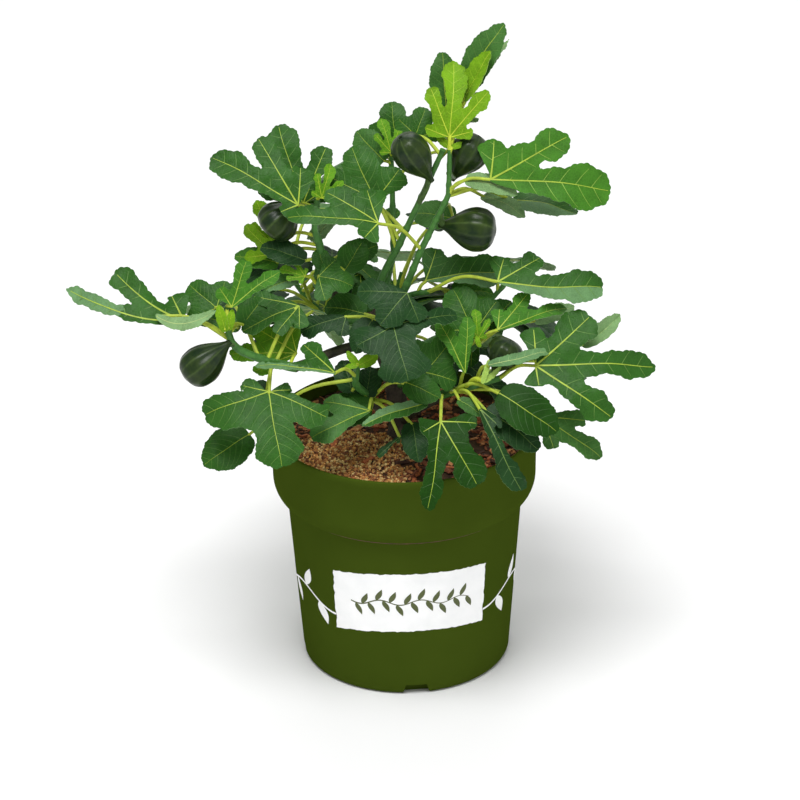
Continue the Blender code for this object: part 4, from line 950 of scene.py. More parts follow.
TINTS = {
    "deep": Tint((0.013, 0.044, 0.011), "pale", "vein_dim", "side_dim"),
    "mature": Tint((0.026, 0.092, 0.012), "pale", "vein", "side"),
    # The shade tint is the mature green darkened, with dim side veins: painted shade for leaves that lie
    # in shadow
    "shade": Tint((0.013, 0.050, 0.006), "pale", "vein", "side_dim"),
    "mid": Tint((0.046, 0.132, 0.026), "pale", "vein", "side"),
    "fresh": Tint((0.044, 0.152, 0.013), "pale", "vein", "side_fresh"),
    "bright": Tint((0.090, 0.235, 0.010), "pale_young", "vein_young", "side_young"),
    "young": Tint((0.135, 0.285, 0.009), "pale_young", "vein_young", "side_young"),
    "pale": Tint((0.165, 0.285, 0.115), "mature", "vein_pale", "side_pale"),
    "pale_young": Tint((0.290, 0.450, 0.090), "bright", "vein_young", "vein_pale"),
    # The sheen tint is a painted sheen: a pale green that stands for light glancing off a blade
    "sheen": Tint((0.100, 0.205, 0.080), "mature", "vein_pale", "side_pale"),
}
VEIN_COLOURS = {
    "vein": (0.330, 0.450, 0.045),
    "vein_dim": (0.130, 0.220, 0.045),
    "vein_young": (0.440, 0.560, 0.040),
    "vein_pale": (0.380, 0.500, 0.180),
    "side": (0.105, 0.220, 0.040),
    "side_dim": (0.055, 0.120, 0.036),
    "side_fresh": (0.190, 0.340, 0.045),
    "side_young": (0.290, 0.460, 0.025),
    "side_pale": (0.250, 0.380, 0.150),
}
TINT_NAMES = list(TINTS)
VEIN_NAMES = list(VEIN_COLOURS)
YOUNG_TINTS = ("young", "bright", "pale_young")

BLADE_GROUPS = {
    "upper": ("top", "second", "back_top", "upper_left"),
    "front": ("left", "front", "centre", "mid_right", "right", "right_low"),
    "back": ("back_left", "back_right", "back"),
}


# How far from the middle line, and from the foot, a leaf's pale part starts, and how wide the
# outer one gets: the pale part is a painted sheen, painted in the sheen tint
PAINTED_SHEEN_SIDE = 0.01
PAINTED_SHEEN_OUTER = 0.49
PAINTED_SHEEN_WIDTH = 0.22


def painted_sheen_faces(flat, leaf):
    """Which faces of a flat leaf lie in its pale part, which gets the sheen tint as a painted sheen."""
    middles = np.array([flat.points[face].mean(axis=0) for face in flat.faces])
    if leaf.pale == "left":
        return middles[:, 0] < -PAINTED_SHEEN_SIDE
    if leaf.pale == "right":
        return middles[:, 0] > PAINTED_SHEEN_SIDE
    if leaf.pale == "outer":
        in_lobe = np.abs(middles[:, 0]) < PAINTED_SHEEN_WIDTH * middles[:, 1]
        return (middles[:, 1] > PAINTED_SHEEN_OUTER) & in_lobe
    return np.zeros(len(middles), bool)


def add_blade(blades, veins, leaf, matrix, sway):
    """Add one leaf's blade and veins to their shapes."""
    flat = flat_leaf(leaf.form)
    length = matrix.to_scale().x
    half = LEAF_THICKNESS / length / 2
    middle = surface(flat.points, leaf, sway)
    normals = surface_normals(flat.points, leaf, sway)
    middle = middle + normals * flat.heights[:, None]
    count = len(flat.points)
    points = placed(np.concatenate([middle + normals * half, middle - normals * half]), matrix)
    top = TINT_NAMES.index(leaf.tint)
    under = TINT_NAMES.index(TINTS[leaf.tint].underside)
    first = blades.count
    blades.add(points, flat.faces, top)
    # The pale part's faces take the sheen tint: a painted sheen
    sheen = TINT_NAMES.index("sheen")
    for index in np.flatnonzero(painted_sheen_faces(flat, leaf)):
        blades.slots[index - len(flat.faces)] = sheen
    lower = [[first + count + index for index in face[::-1]] for face in flat.faces]
    rim = []
    edge = len(flat.rim)
    for index in range(edge):
        after = (index + 1) % edge
        rim.append([first + index, first + after, first + count + after, first + count + index])
    blades.faces.extend(lower + rim)
    blades.slots.extend([under] * (len(lower) + len(rim)))
    add_veins(veins, flat, leaf, matrix, sway, half)


def vein_slot(tint, main):
    """The place of the colour that a main or a side vein has on a tint."""
    return VEIN_NAMES.index(TINTS[tint].main_vein if main else TINTS[tint].side_vein)


def add_veins(veins, flat, leaf, matrix, sway, half):
    """Add a leaf's veins above its upper face and under its lower one."""
    for points, heights, main in flat.veins:
        normals = surface_normals(points, leaf, sway)
        bent = surface(points, leaf, sway) + normals * heights[:, None]
        rows = len(points) // 3
        ridge = np.tile((0, 1, 0), rows) * np.repeat(np.linspace(1, VEIN_TIP_RIDGE, rows), 3)
        rise = half + VEIN_LIFT + ridge * (MAIN_VEIN_RIDGE if main else SIDE_VEIN_RIDGE)
        drop = half + VEIN_LIFT + ridge * (UNDER_VEIN_RIDGE if main else UNDER_SIDE_VEIN_RIDGE)
        faces = strip_faces(rows)
        upper = placed(bent + normals * rise[:, None], matrix)
        veins.add(upper, faces, vein_slot(leaf.tint, main))
        lower = placed(bent - normals * drop[:, None], matrix)
        turned = [face[::-1] for face in faces]
        veins.add(lower, turned, vein_slot(TINTS[leaf.tint].underside, main))


def ring_frames(path):
    """A direction and two crosswise ones at each point of a path, turned as little as possible."""
    frames = []
    across = None
    for index, place in enumerate(path):
        ahead = path[min(index + 1, len(path) - 1)] - path[max(index - 1, 0)]
        ahead.normalize()
        if across is None:
            across = ahead.orthogonal().normalized()
        across = (across - ahead * across.dot(ahead)).normalized()
        frames.append((ahead, across, ahead.cross(across)))
    return frames


def ring_faces(rings, sides):
    """The faces between neighbouring rings of points, seen from outside."""
    faces = []
    for low in range(0, (rings - 1) * sides, sides):
        for step in range(sides):
            after = (step + 1) % sides
            faces.append((low + step, low + after, low + sides + after, low + sides + step))
    return faces


def closed_faces(rings, sides):
    """The faces between rings of points, and the two that close the ends."""
    last = (rings - 1) * sides
    first_end = list(range(sides))[::-1]
    return [*ring_faces(rings, sides), first_end, list(range(last, last + sides))]


def add_tube(shape, path, radii, sides, slot, relief=None):
    """Add a closed tube along a path, with its surface raised by a relief of (turn, length)."""
    frames = ring_frames(path)
    points = []
    run = 0
    for index, (place, radius, (_, across, over)) in enumerate(zip(path, radii, frames)):
        if index:
            run += (place - path[index - 1]).length
        for step in range(sides):
            turn = math.tau * step / sides
            raised = radius + (relief(turn, run) if relief else 0)
            points.append(place + (across * math.cos(turn) + over * math.sin(turn)) * raised)
    shape.add(points, closed_faces(len(path), sides), slot)


# Stalks
STALK_SIDES = 8
STALK_STEPS = 5
STALK_RADII = (1.8 * MM, 1.4 * MM)
STALK_OVERLAP = 1.5 * MM
STALK_COLOURS = {"stalk": (0.390, 0.490, 0.050), "stalk_young": (0.500, 0.600, 0.050)}


def add_stalk(stalks, start, foot, along, tint):
    """Add a leaf's stalk, from inside the stem to the blade's foot."""
    middle = (start + foot) / 2 + Vector((0, 0, STALK_RISE)) * (foot - start).length
    path = smooth_path([start, middle, foot + along * STALK_OVERLAP], STALK_STEPS)
    radii = taper(len(path), *STALK_RADII)
    slot = 1 if tint in YOUNG_TINTS else 0
    add_tube(stalks, path, radii, STALK_SIDES, slot)


def grow_leaf(shapes, leaf, foot, tip, normal, start, seed):
    """Add one leaf with its stalk."""
    blades, veins, stalks = shapes
    matrix = leaf_matrix(foot, tip, normal)
    add_blade(blades, veins, leaf, matrix, new_sway(random.Random(seed)))
    add_stalk(stalks, start, foot, (tip - foot).normalized(), leaf.tint)


def lifted(level, lift):
    """A level direction lifted by an angle in degrees."""
    lift = math.radians(lift)
    return level * math.cos(lift) + Vector((0, 0, math.sin(lift)))


def fill_candidate(name, stem, index):
    """One leaf of the filling, drawn by its own seed and turned on by the golden angle."""
    rng = random.Random(f"{FILL_SEED} {name}")
    start = point_at(stem, rng.uniform(FILL_START, 1))
    bearing = index * GOLDEN_TURN + rng.uniform(-FILL_SWAY, FILL_SWAY)
    out = Vector((math.cos(bearing), math.sin(bearing), 0))
    rise = lifted(out, rng.uniform(*FILL_STALK_RISE))
    foot = start + rise * rng.uniform(*FILL_STALK) * MM
    normal = lifted(out, rng.uniform(*FILL_LIFT))
    along = (out - normal * out.dot(normal)).normalized()
    tip = foot + along * rng.uniform(*FILL_LENGTH) * MM
    form = rng.choice(FILL_FORMS)
    folds = (rng.uniform(*FILL_FOLD), rng.uniform(*FILL_FOLD))
    leaf = Leaf(0, form, (), 0, (), 0, 0, *folds, tint=rng.choice(FILL_TINTS))
    return leaf, foot, tip, normal, start


def in_solids(tree, leaf, foot, tip, normal, start):
    """Whether the solids have this leaf: its test points lie on their surface."""
    matrix = leaf_matrix(foot, tip, normal)
    spots = [start.lerp(foot, 0.5) + Vector((0, 0, STALK_RISE)) * (foot - start).length]
    for x, y in TEST_POINTS:
        fold = math.radians(leaf.right if x > 0 else leaf.left)
        rise = abs(x) * math.sin(fold) + ARCH * y * (1 - y) - SIDE_DROOP * x**2
        spots.append(matrix @ Vector((x * math.cos(fold), y, rise)))
    return all(tree.find_nearest(spot, TEST_REACH)[0] is not None for spot in spots)


def covers_sky(leaf, foot, tip, normal, seed):
    """Whether a leaf hides one of the places that stay open."""
    sway = new_sway(random.Random(seed))
    rim = placed(surface(flat_leaf(leaf.form).rim, leaf, sway), leaf_matrix(foot, tip, normal))
    outline = np.array([on_sheet(Vector(spot)) for spot in rim])
    return inside(np.array(OPEN_LEFT + OPEN_RIGHT), outline).any()


def node_tree(name):
    """A search tree of a CAD node's surface."""
    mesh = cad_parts[name].data
    corners = [vertex.co for vertex in mesh.vertices]
    return BVHTree.FromPolygons(corners, [tuple(face.vertices) for face in mesh.polygons])


def grow_mass(name, shapes):
    """Grow one mass's leaves: those that show, and the filling."""
    stem = stem_path(name, MASSES[name].way)
    shoot = stem_path(name, shoot_way(name))
    for index, leaf in enumerate(LEAVES.get(name, ())):
        foot = seen(*leaf.foot, leaf.deep)
        normal = facing(leaf.turn, leaf.lift)
        tip = seen_on_plane(*leaf.tip, foot, normal)
        start = point_at(shoot, leaf.at)
        grow_leaf(shapes, leaf, foot, tip, normal, start, f"{name} shown {index}")
    tree = node_tree("mass_" + name)
    wanted = MASSES[name].filling
    kept = 0
    for index in range(FILL_TRIES * wanted):
        piece = f"{name}_fill_{index + 1}"
        leaf, *places = fill_candidate(piece, stem, index)
        if in_solids(tree, leaf, *places):
            kept += 1
            if not covers_sky(leaf, *places[:3], piece):
                start = nearest_on(shoot, places[3])
                grow_leaf(shapes, leaf, *places[:3], start, piece)
            if kept == wanted:
                break
    print("mass", name, "filling in the solids", kept, "of", wanted)


def material(name, colour, roughness, specular=0.5):
    """A Principled material, with its tree and shader."""
    made = bpy.data.materials.new(name)
    made.use_nodes = True
    tree = made.node_tree
    shader = tree.nodes["Principled BSDF"]
    shader.inputs["Base Color"].default_value = (*colour, 1)
    shader.inputs["Roughness"].default_value = roughness
    shader.inputs["Specular IOR Level"].default_value = specular
    return made, tree, shader


def coordinates(tree):
    """The object's own coordinates."""
    return tree.nodes.new("ShaderNodeTexCoord").outputs["Object"]


def noise_pattern(tree, scale, detail=3.0, roughness=0.5):
    """A noise pattern on the object's coordinates."""
    node = tree.nodes.new("ShaderNodeTexNoise")
    node.inputs["Scale"].default_value = scale
    node.inputs["Detail"].default_value = detail
    node.inputs["Roughness"].default_value = roughness
    tree.links.new(coordinates(tree), node.inputs["Vector"])
    return node.outputs["Fac"]


def mix_colours(tree, factor, first, second, low=0.3, high=0.7):
    """A mix of two colours by a pattern between two of its levels."""
    ramp = tree.nodes.new("ShaderNodeValToRGB")
    ramp.color_ramp.elements[0].position = low
    ramp.color_ramp.elements[0].color = (*first, 1)
    ramp.color_ramp.elements[1].position = high
    ramp.color_ramp.elements[1].color = (*second, 1)
    tree.links.new(factor, ramp.inputs["Fac"])
    return ramp.outputs["Color"]


def bump(tree, shader, height, strength, distance):
    """Raise a shader's surface by a pattern."""
    node = tree.nodes.new("ShaderNodeBump")
    node.inputs["Strength"].default_value = strength
    node.inputs["Distance"].default_value = distance
    tree.links.new(height, node.inputs["Height"])
    tree.links.new(node.outputs["Normal"], shader.inputs["Normal"])


def mottle(tree, shader, dark, light, low=0.3, high=0.7, **noise_settings):
    """Mottle a shader's base colour between two colours by noise."""
    pattern = noise_pattern(tree, **noise_settings)
    ground = mix_colours(tree, pattern, dark, light, low, high)
    tree.links.new(ground, shader.inputs["Base Color"])


def times(tree, pattern):
    """A node that multiplies a pattern, with its second input still free."""
    node = tree.nodes.new("ShaderNodeMath")
    node.operation = "MULTIPLY"
    tree.links.new(pattern, node.inputs[0])
    return node


def colour_over(tree, shader, share, ground, colour):
    """Lay a plain colour over a shader's mottled ground by a share."""
    mix = tree.nodes.new("ShaderNodeMix")
    mix.data_type = "RGBA"
    tree.links.new(share, mix.inputs["Factor"])
    tree.links.new(ground, mix.inputs[MIX_GROUND])
    mix.inputs[MIX_OVER].default_value = (*colour, 1)
    tree.links.new(mix.outputs[MIX_RESULT], shader.inputs["Base Color"])


def shade(colour, factor):
    """A colour made lighter or darker."""
    return tuple(min(1, channel * factor) for channel in colour)


# The colour sockets of a mix node
MIX_GROUND = 6
MIX_OVER = 7
MIX_RESULT = 2

# A leaf's gloss, and its net of small veins: how fine, how wide and how light it is, and how far
# it shows
DARK_TINTS = ("deep", "shade", "mature", "mid")
DARK_ROUGHNESS = 0.36
LIGHT_ROUGHNESS = 0.48
SHADE_SPECULAR = 0.04
LEAF_SPECULAR = 0.08
NET_SCALE = 420
NET_WIDTH = 0.12
NET_LIGHT = 1.7
NET_SHARE = 0.35


def leaf_material(name, colour):
    """A leaf's surface: mottled, with a fine net of small veins."""
    roughness = DARK_ROUGHNESS if name in DARK_TINTS else LIGHT_ROUGHNESS
    specular = SHADE_SPECULAR if name == "shade" else LEAF_SPECULAR
    made, tree, shader = material("leaf_" + name, colour, roughness, specular)
    cells = tree.nodes.new("ShaderNodeTexVoronoi")
    cells.feature = "DISTANCE_TO_EDGE"
    cells.inputs["Scale"].default_value = NET_SCALE
    tree.links.new(coordinates(tree), cells.inputs["Vector"])
    to_edge = cells.outputs["Distance"]
    blotch = noise_pattern(tree, scale=60, detail=4)
    ground = mix_colours(tree, blotch, shade(colour, 0.78), shade(colour, 1.22))
    net = times(tree, mix_colours(tree, to_edge, (1, 1, 1), (0, 0, 0), low=0, high=NET_WIDTH))
    net.inputs[1].default_value = NET_SHARE
    colour_over(tree, shader, net.outputs[0], ground, shade(colour, NET_LIGHT))
    bump(tree, shader, to_edge, strength=0.5, distance=0.6 * MM)
    return made


def vein_material(name, colour):
    """A vein's or a stalk's surface, a little uneven in colour."""
    made, tree, shader = material(name, colour, roughness=0.45, specular=0.2)
    mottle(tree, shader, shade(colour, 0.82), shade(colour, 1.15), scale=150, detail=2)
    return made


def bark_material(name, dark, light, scale, roughness):
    """Bark, a green shoot or soil: streaks, specks and a fine grain."""
    made, tree, shader = material(name, light, roughness, specular=0.25)
    mottle(tree, shader, dark, light, low=0.35, high=0.65, scale=scale, detail=6, roughness=0.65)
    grain = noise_pattern(tree, scale * 4, detail=5, roughness=0.6)
    bump(tree, shader, grain, strength=0.5, distance=0.6 * MM)
    return made


def fig_material(name, dark, light, ribs):
    """A fig's skin: dark green with uneven light stripes along its ribs, and a fine bumpy surface."""
    made, tree, shader = material(name, dark, roughness=0.3, specular=0.2)
    blotch = noise_pattern(tree, scale=75, detail=4, roughness=0.6)
    ground = mix_colours(tree, blotch, dark, light, low=0.38, high=0.72)
    rib = tree.nodes.new("ShaderNodeAttribute")
    rib.attribute_name = FIG_PAINT
    share = times(tree, rib.outputs["Fac"])
    specks = noise_pattern(tree, scale=320, detail=3, roughness=0.6)
    tree.links.new(specks, share.inputs[1])
    colour_over(tree, shader, share.outputs[0], ground, ribs)
    bump(tree, shader, noise_pattern(tree, scale=700), strength=0.2, distance=0.4 * MM)
    return made


# Figs: their ribs, and their profile as (half width in radii, place along the fig)
FIG_SIDES = 66
FIG_STEPS = 5
FIG_RIBS = 11
FIG_RIB_DEPTH = 0.030
NECK_PROFILE = ((0.150, -0.04), (0.195, 0.04), (0.340, 0.14), (0.610, 0.28))
BELLY_PROFILE = ((0.850, 0.43), (0.985, 0.58), (0.995, 0.70), (0.920, 0.83))
EYE_PROFILE = ((0.660, 0.94), (0.270, 0.99), (0.130, 1), (0.080, 0.97))
FIG_PROFILE = NECK_PROFILE + BELLY_PROFILE + EYE_PROFILE
FIG_SAG = 0.03
FIG_ROUNDING = 0.7
FIG_STRIPE_SHARPNESS = 3
FIG_STRIPE_STRENGTH = (0.3, 1)
FIG_PAINT = "rib"

# A fig's neck: its radius in the fig's, how far it runs into the fig, and where it bends
NECK_RADIUS = 0.17
NECK_TAPER = 0.95
NECK_OVERLAP = 0.06
NECK_BEND = 0.6
NECK_STEPS = 5
NECK_SIDES = 14


def add_fig(figs, paint, stem, fig, seed):
    """Add a ribbed, pear-shaped fig on its neck, and keep how near each point is to a rib."""
    rng = random.Random(seed)
    neck = seen(*fig.neck, fig.deep)
    end = seen(*fig.end, fig.end_deep)
    length = (end - neck).length
    ahead = (end - neck) / length
    across = ahead.orthogonal().normalized()
    over = ahead.cross(across)
    radius = fig.radius * MM
    phase = rng.uniform(0, math.tau)
    uneven = [rng.uniform(*FIG_STRIPE_STRENGTH) for _ in range(FIG_RIBS)]
    points = []
    profile = smooth_path([Vector((width, 0, share)) for width, share in FIG_PROFILE], FIG_STEPS)
    for spot in profile:
        swell = max(0, math.sin(math.pi * min(1, max(0, spot.z)))) ** FIG_ROUNDING
        for step in range(FIG_SIDES):
            turn = math.tau * step / FIG_SIDES
            rib = math.cos(FIG_RIBS * turn)
            raised = rib * FIG_RIB_DEPTH * swell
            sag = FIG_SAG * math.cos(turn + phase) * swell
            width = spot.x * radius * (1 + raised + sag)
            offset = across * math.cos(turn) + over * math.sin(turn)
            points.append(neck + ahead * spot.z * length + offset * width)
            strength = uneven[round(step * FIG_RIBS / FIG_SIDES) % FIG_RIBS]
            paint.append(max(0, rib) ** FIG_STRIPE_SHARPNESS * strength)
    figs.add(points, closed_faces(len(profile), FIG_SIDES), 0)
    start = point_at(stem, fig.at)
    bend = start.lerp(neck, NECK_BEND)
    path = smooth_path([start, bend, neck + ahead * length * NECK_OVERLAP], NECK_STEPS)
    radii = taper(len(path), NECK_RADIUS * radius * NECK_TAPER, NECK_RADIUS * radius)
    before = figs.count
    add_tube(figs, path, radii, NECK_SIDES, 1)
    paint.extend([0] * (figs.count - before))


# Shoots and bark
SHOOT_SIDES = 18
SHOOT_STEPS = 14
SHOOT_SLIMMING = 0.80
NODE_SPACING = 17 * MM
NODE_WIDTH = 1.6 * MM
NODE_RISE = 0.55 * MM
NODE_SHIFT = 3 * MM
SHOOT_RIBS = 5
SHOOT_RIB_DEPTH = 0.12 * MM
OLD_SHOOTS = ("left", "front", "right_low", "back", "centre", "upper_left")


def shoot_relief(seed):
    """A green shoot's surface: rings at its nodes, and slight ribs."""
    phase = random.Random(seed).uniform(0, math.tau)

    def relief(turn, run):
        off = (run + phase * NODE_SHIFT) % NODE_SPACING - NODE_SPACING / 2
        node = math.exp(-((off / NODE_WIDTH) ** 2)) * NODE_RISE
        return node + SHOOT_RIB_DEPTH * math.sin(SHOOT_RIBS * turn + phase)

    return relief


# Old bark: how fine its ridges are round and along a stem, how their noise builds up, and how
# deep ridges and bumps are
RIDGES_ROUND = 3
RIDGES_ALONG = 45
RIDGE_FRACTAL = (0.8, 2.0, 3)
RIDGE_DEPTH = 0.7 * MM
BUMP_FINENESS = 2.7
BUMP_DEPTH = 0.35 * MM


def bark_relief(turn, run):
    """Old bark's surface: long ridges with cracks and bumps."""
    x, y = math.cos(turn) * RIDGES_ROUND, math.sin(turn) * RIDGES_ROUND
    place = Vector((x, y, run * RIDGES_ALONG))
    ridge = noise.fractal(place, *RIDGE_FRACTAL) * RIDGE_DEPTH
    return ridge + noise.noise(place * BUMP_FINENESS) * BUMP_DEPTH


# Bark as (name, dark, light, scale of its streaks, roughness)
GREEN_SHOOT = ("green_shoot", (0.036, 0.120, 0.022), (0.066, 0.200, 0.036), 160, 0.45)
YOUNG_BARK = ("young_bark", (0.018, 0.018, 0.012), (0.060, 0.058, 0.032), 140, 0.7)
OLD_BARK = ("old_bark", (0.022, 0.017, 0.013), (0.085, 0.066, 0.048), 90, 0.85)
FIG_NECK = ("fig_neck", (0.040, 0.085, 0.020), (0.090, 0.160, 0.040), 200, 0.4)
DARK_SOIL = ("dark_soil", (0.030, 0.016, 0.010), (0.110, 0.052, 0.028), 120, 0.95)

TRUNK_SIDES = 36
TRUNK_STEPS = 7
TRUNK_SUNK = 3 * MM


def make_shoots():
    """The boughs and the masses' stems, with their bark, as one joined piece."""
    shoots = Shape()
    for name in BOUGHS:
        start, spots = stem_spots(name, shoot_way(name))
        bough_path = smooth_path(bough_spots(name), SHOOT_STEPS)
        path = bough_path + smooth_path(spots, SHOOT_STEPS)
        foot = taper(len(bough_path), BOUGHS[name].foot, BOUGHS[name].tip)
        onward = taper(len(path) - len(bough_path), BOUGHS[name].tip, MASSES[name].tip)
        radii = [radius * MM for radius in (*foot, *onward)]
        old = name in OLD_SHOOTS
        if not old:
            radii = [radius * SHOOT_SLIMMING for radius in radii]
        relief = bark_relief if old else shoot_relief(name)
        before = len(shoots.slots)
        add_tube(shoots, path, radii, SHOOT_SIDES, 0, relief)
        if old:
            woody = len(bough_path) * SHOOT_SIDES
            shoots.slots[before : before + woody] = [1] * woody
    looks = [bark_material(*look) for look in (GREEN_SHOOT, YOUNG_BARK)]
    finish_piece(shoots.make("shoots", looks), "shoot", *("bough_" + name for name in BOUGHS))


def make_trunk():
    """The old trunk, with its flare, its bark and its cut top."""
    shape = Shape()
    path = smooth_path(trunk_path(), TRUNK_STEPS)
    path[0] = path[0] - Vector((0, 0, TRUNK_SUNK))
    radii = []
    for step, radius in enumerate(taper(len(path), TRUNK_FOOT_RADIUS, TRUNK_TOP_RADIUS)):
        share = step / (len(path) - 1)
        radii.append(radius + FLARE * max(0, 1 - share / FLARE_SHARE) ** 2)
    add_tube(shape, path, radii, TRUNK_SIDES, 0, bark_relief)
    finish_piece(shape.make("trunk_bark", [bark_material(*OLD_BARK)]), "bark", "trunk")


def finish_piece(piece, slot, *nodes):
    """Put a piece on the body and hide the nodes that it stands for. Its slot is not used."""
    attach(piece, "root")
    if nodes:
        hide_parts(*nodes)
    return piece


def make_foliage():
    """All leaves, veins and stalks, joined by groups of masses."""
    tints = [leaf_material(name, tint.colour) for name, tint in TINTS.items()]
    veins = [vein_material(name, colour) for name, colour in VEIN_COLOURS.items()]
    stalks = Shape()
    for group, names in BLADE_GROUPS.items():
        blades, nerves = Shape(), Shape()
        for name in names:
            grow_mass(name, (blades, nerves, stalks))
        piece = blades.make("leaves_" + group, tints, LEAF_SHARP)
        finish_piece(piece, "leaves", *("mass_" + name for name in names))
        finish_piece(nerves.make("veins_" + group, veins, VEIN_SHARP), "leaves")
    colours = [vein_material(name, colour) for name, colour in STALK_COLOURS.items()]
    finish_piece(stalks.make("leaf_stalks", colours), "leaves")


# A fig's skin as (name, dark, light, colour of the stripes along its ribs)
FIG_SKIN = ("fig_skin", (0.007, 0.020, 0.006), (0.027, 0.049, 0.008), (0.075, 0.120, 0.030))


def make_figs():
    """All the figs, joined."""
    figs = Shape()
    paint = []
    for name, rows in FIGS.items():
        stem = stem_path(name, shoot_way(name))
        for index, fig in enumerate(rows):
            add_fig(figs, paint, stem, fig, f"{name} fig {index}")
    piece = figs.make("figs", [fig_material(*FIG_SKIN), bark_material(*FIG_NECK)])
    layer = piece.data.attributes.new(FIG_PAINT, "FLOAT", "POINT")
    layer.data.foreach_set("value", paint)
    finish_piece(piece, "leaves")


# Finer pot: its lip, how far in and down the lip's lower edge lies, its curves, and its plastic's
# colours and roughness
POT_STEPS = 144
LIP_RADIUS = 1.6 * MM
LIP_EDGE = ((0.1 * MM, 7 * MM), (0.7 * MM, 8 * MM))
RIM_CURVE_END = -78
STEP_ROUNDING = 0.8 * MM
INNER_SLOPE = 10 * MM
POT_WELD = 0.01 * MM
POT_SHARP = 35
POT_COLOUR = (0.045, 0.071, 0.007)
POT_DARK = (0.043, 0.068, 0.0065)
POT_LIGHT = (0.049, 0.076, 0.0075)
POT_SMOOTH = (0.42,) * 3
POT_SCUFFED = (0.54,) * 3


def arc(centre, radii, start, end, steps):
    """Points of an elliptic arc as (radius, height), with angles in degrees."""
    points = []
    for step in range(steps + 1):
        angle = math.radians(start + (end - start) * step / steps)
        radius = centre[0] + radii[0] * math.cos(angle)
        points.append((radius, centre[1] + radii[1] * math.sin(angle)))
    return points


def pot_profile():
    """The pot's outline from the middle of its inner floor over the rim to its underside."""
    curve_top = STEP_HEIGHT + RIM_CURVE_HEIGHT
    curve_width = RIM_CURVE_RADIUS - STEP_RADIUS
    lip = ((RIM_RADIUS - LIP_RADIUS, POT_HEIGHT - LIP_RADIUS), (LIP_RADIUS, LIP_RADIUS))
    step = ((STEP_RADIUS + STEP_ROUNDING, STEP_HEIGHT - STEP_SLOPE), (STEP_ROUNDING, STEP_ROUNDING))
    base = ((BASE_RADIUS - BASE_ROUNDING, BASE_ROUNDING), (BASE_ROUNDING, BASE_ROUNDING))
    outer = arc(*lip, 90, 0, steps=5)
    outer += [(RIM_RADIUS - inward, POT_HEIGHT - down) for inward, down in LIP_EDGE]
    outer += arc((STEP_RADIUS, curve_top), (curve_width, RIM_CURVE_HEIGHT), 0, RIM_CURVE_END, steps=12)
    outer += arc(*step, 90, 180, steps=4)
    outer += arc(*base, 0, -90, steps=8)
    inner = [(0, FLOOR), (BASE_RADIUS - BASE_ROUNDING, FLOOR), (BASE_RADIUS, FLOOR + INNER_SLOPE)]
    inner.append((STEP_RADIUS - WALL, STEP_HEIGHT))
    inner.append((RIM_CURVE_RADIUS - WALL, curve_top))
    inner += arc(*lip, 180, 90, steps=5)
    return [*inner, *outer[1:], (0, 0)]


def make_pot():
    """The pot, turned finely, with its drain notches."""
    profile = pot_profile()
    points = []
    for radius, height in profile:
        for step in range(POT_STEPS):
            turn = math.tau * step / POT_STEPS
            points.append((radius * math.cos(turn), radius * math.sin(turn), height))
    shape = Shape()
    shape.add(points, ring_faces(len(profile), POT_STEPS), 0)
    pot = shape.make("pot_shell", [pot_material()], POT_SHARP)
    weld(pot.data)
    cut_notches(pot)
    finish_piece(pot, "pot", "pot")


def weld(mesh):
    """Merge a mesh's points that lie together."""
    shape = bmesh.new()
    shape.from_mesh(mesh)
    bmesh.ops.remove_doubles(shape, verts=shape.verts, dist=POT_WELD)
    bmesh.ops.recalc_face_normals(shape, faces=shape.faces)
    shape.to_mesh(mesh)
    shape.free()


def cut_notches(pot):
    """Cut the drain notches out of the pot's lower edge."""
    for index in range(NOTCH_COUNT):
        turn = NOTCH_TURN + index * math.tau / NOTCH_COUNT
        bpy.ops.mesh.primitive_cube_add(size=1)
        cutter = bpy.context.object
        for vertex in cutter.data.vertices:
            if vertex.co.z > 0:
                vertex.co.x *= NOTCH_TOP_SHARE
            else:
                vertex.co.x *= 2 - NOTCH_TOP_SHARE
        size = Matrix.Diagonal((2 * NOTCH_HALF, 2 * NOTCH_DEPTH, 2 * NOTCH_HEIGHT, 1))
        place = Matrix.Rotation(turn, 4, "Z") @ Matrix.Translation((0, -BASE_RADIUS, 0)) @ size
        cutter.data.transform(place)
        cut = pot.modifiers.new("notch", "BOOLEAN")
        cut.operation = "DIFFERENCE"
        cut.object = cutter
        bpy.context.view_layer.objects.active = pot
        bpy.ops.object.modifier_apply(modifier=cut.name)
        bpy.data.objects.remove(cutter, do_unlink=True)


def pot_material():
    """Satin olive plastic with a fine grain and faint scuffs."""
    made, tree, shader = material("olive_plastic", POT_COLOUR, roughness=0.5, specular=0)
    mottle(tree, shader, POT_DARK, POT_LIGHT, scale=14, detail=4)
    scuff = noise_pattern(tree, scale=45, detail=6, roughness=0.7)
    rough = mix_colours(tree, scuff, POT_SMOOTH, POT_SCUFFED)
    tree.links.new(rough, shader.inputs["Roughness"])
    grain = noise_pattern(tree, scale=900, detail=2)
    bump(tree, shader, grain, strength=0.12, distance=0.3 * MM)
    return made


# Plain label on the pot's wall, placed by turn from the front and by height: its sag, its tilt,
# its torn edges, and how far it stands proud of the wall
LABEL_TURN = math.radians(2.2)
LABEL_HALF = math.radians(41)
LABEL_LOW = 69 * MM
LABEL_HIGH = 130 * MM
LABEL_SAG = 6 * MM
LABEL_TILT = 1.2 * MM
LABEL_GRID = (60, 18)
LABEL_SEED = 4
LABEL_TEAR = 0.5 * MM
SIDE_TEAR = 0.8 * MM
SIDE_TEAR_POWER = 9
LABEL_PROUD = 0.25 * MM
LABEL_BACK = -0.2 * MM
PRINT_SHARP = 40
EDGE_SINK = 0.2

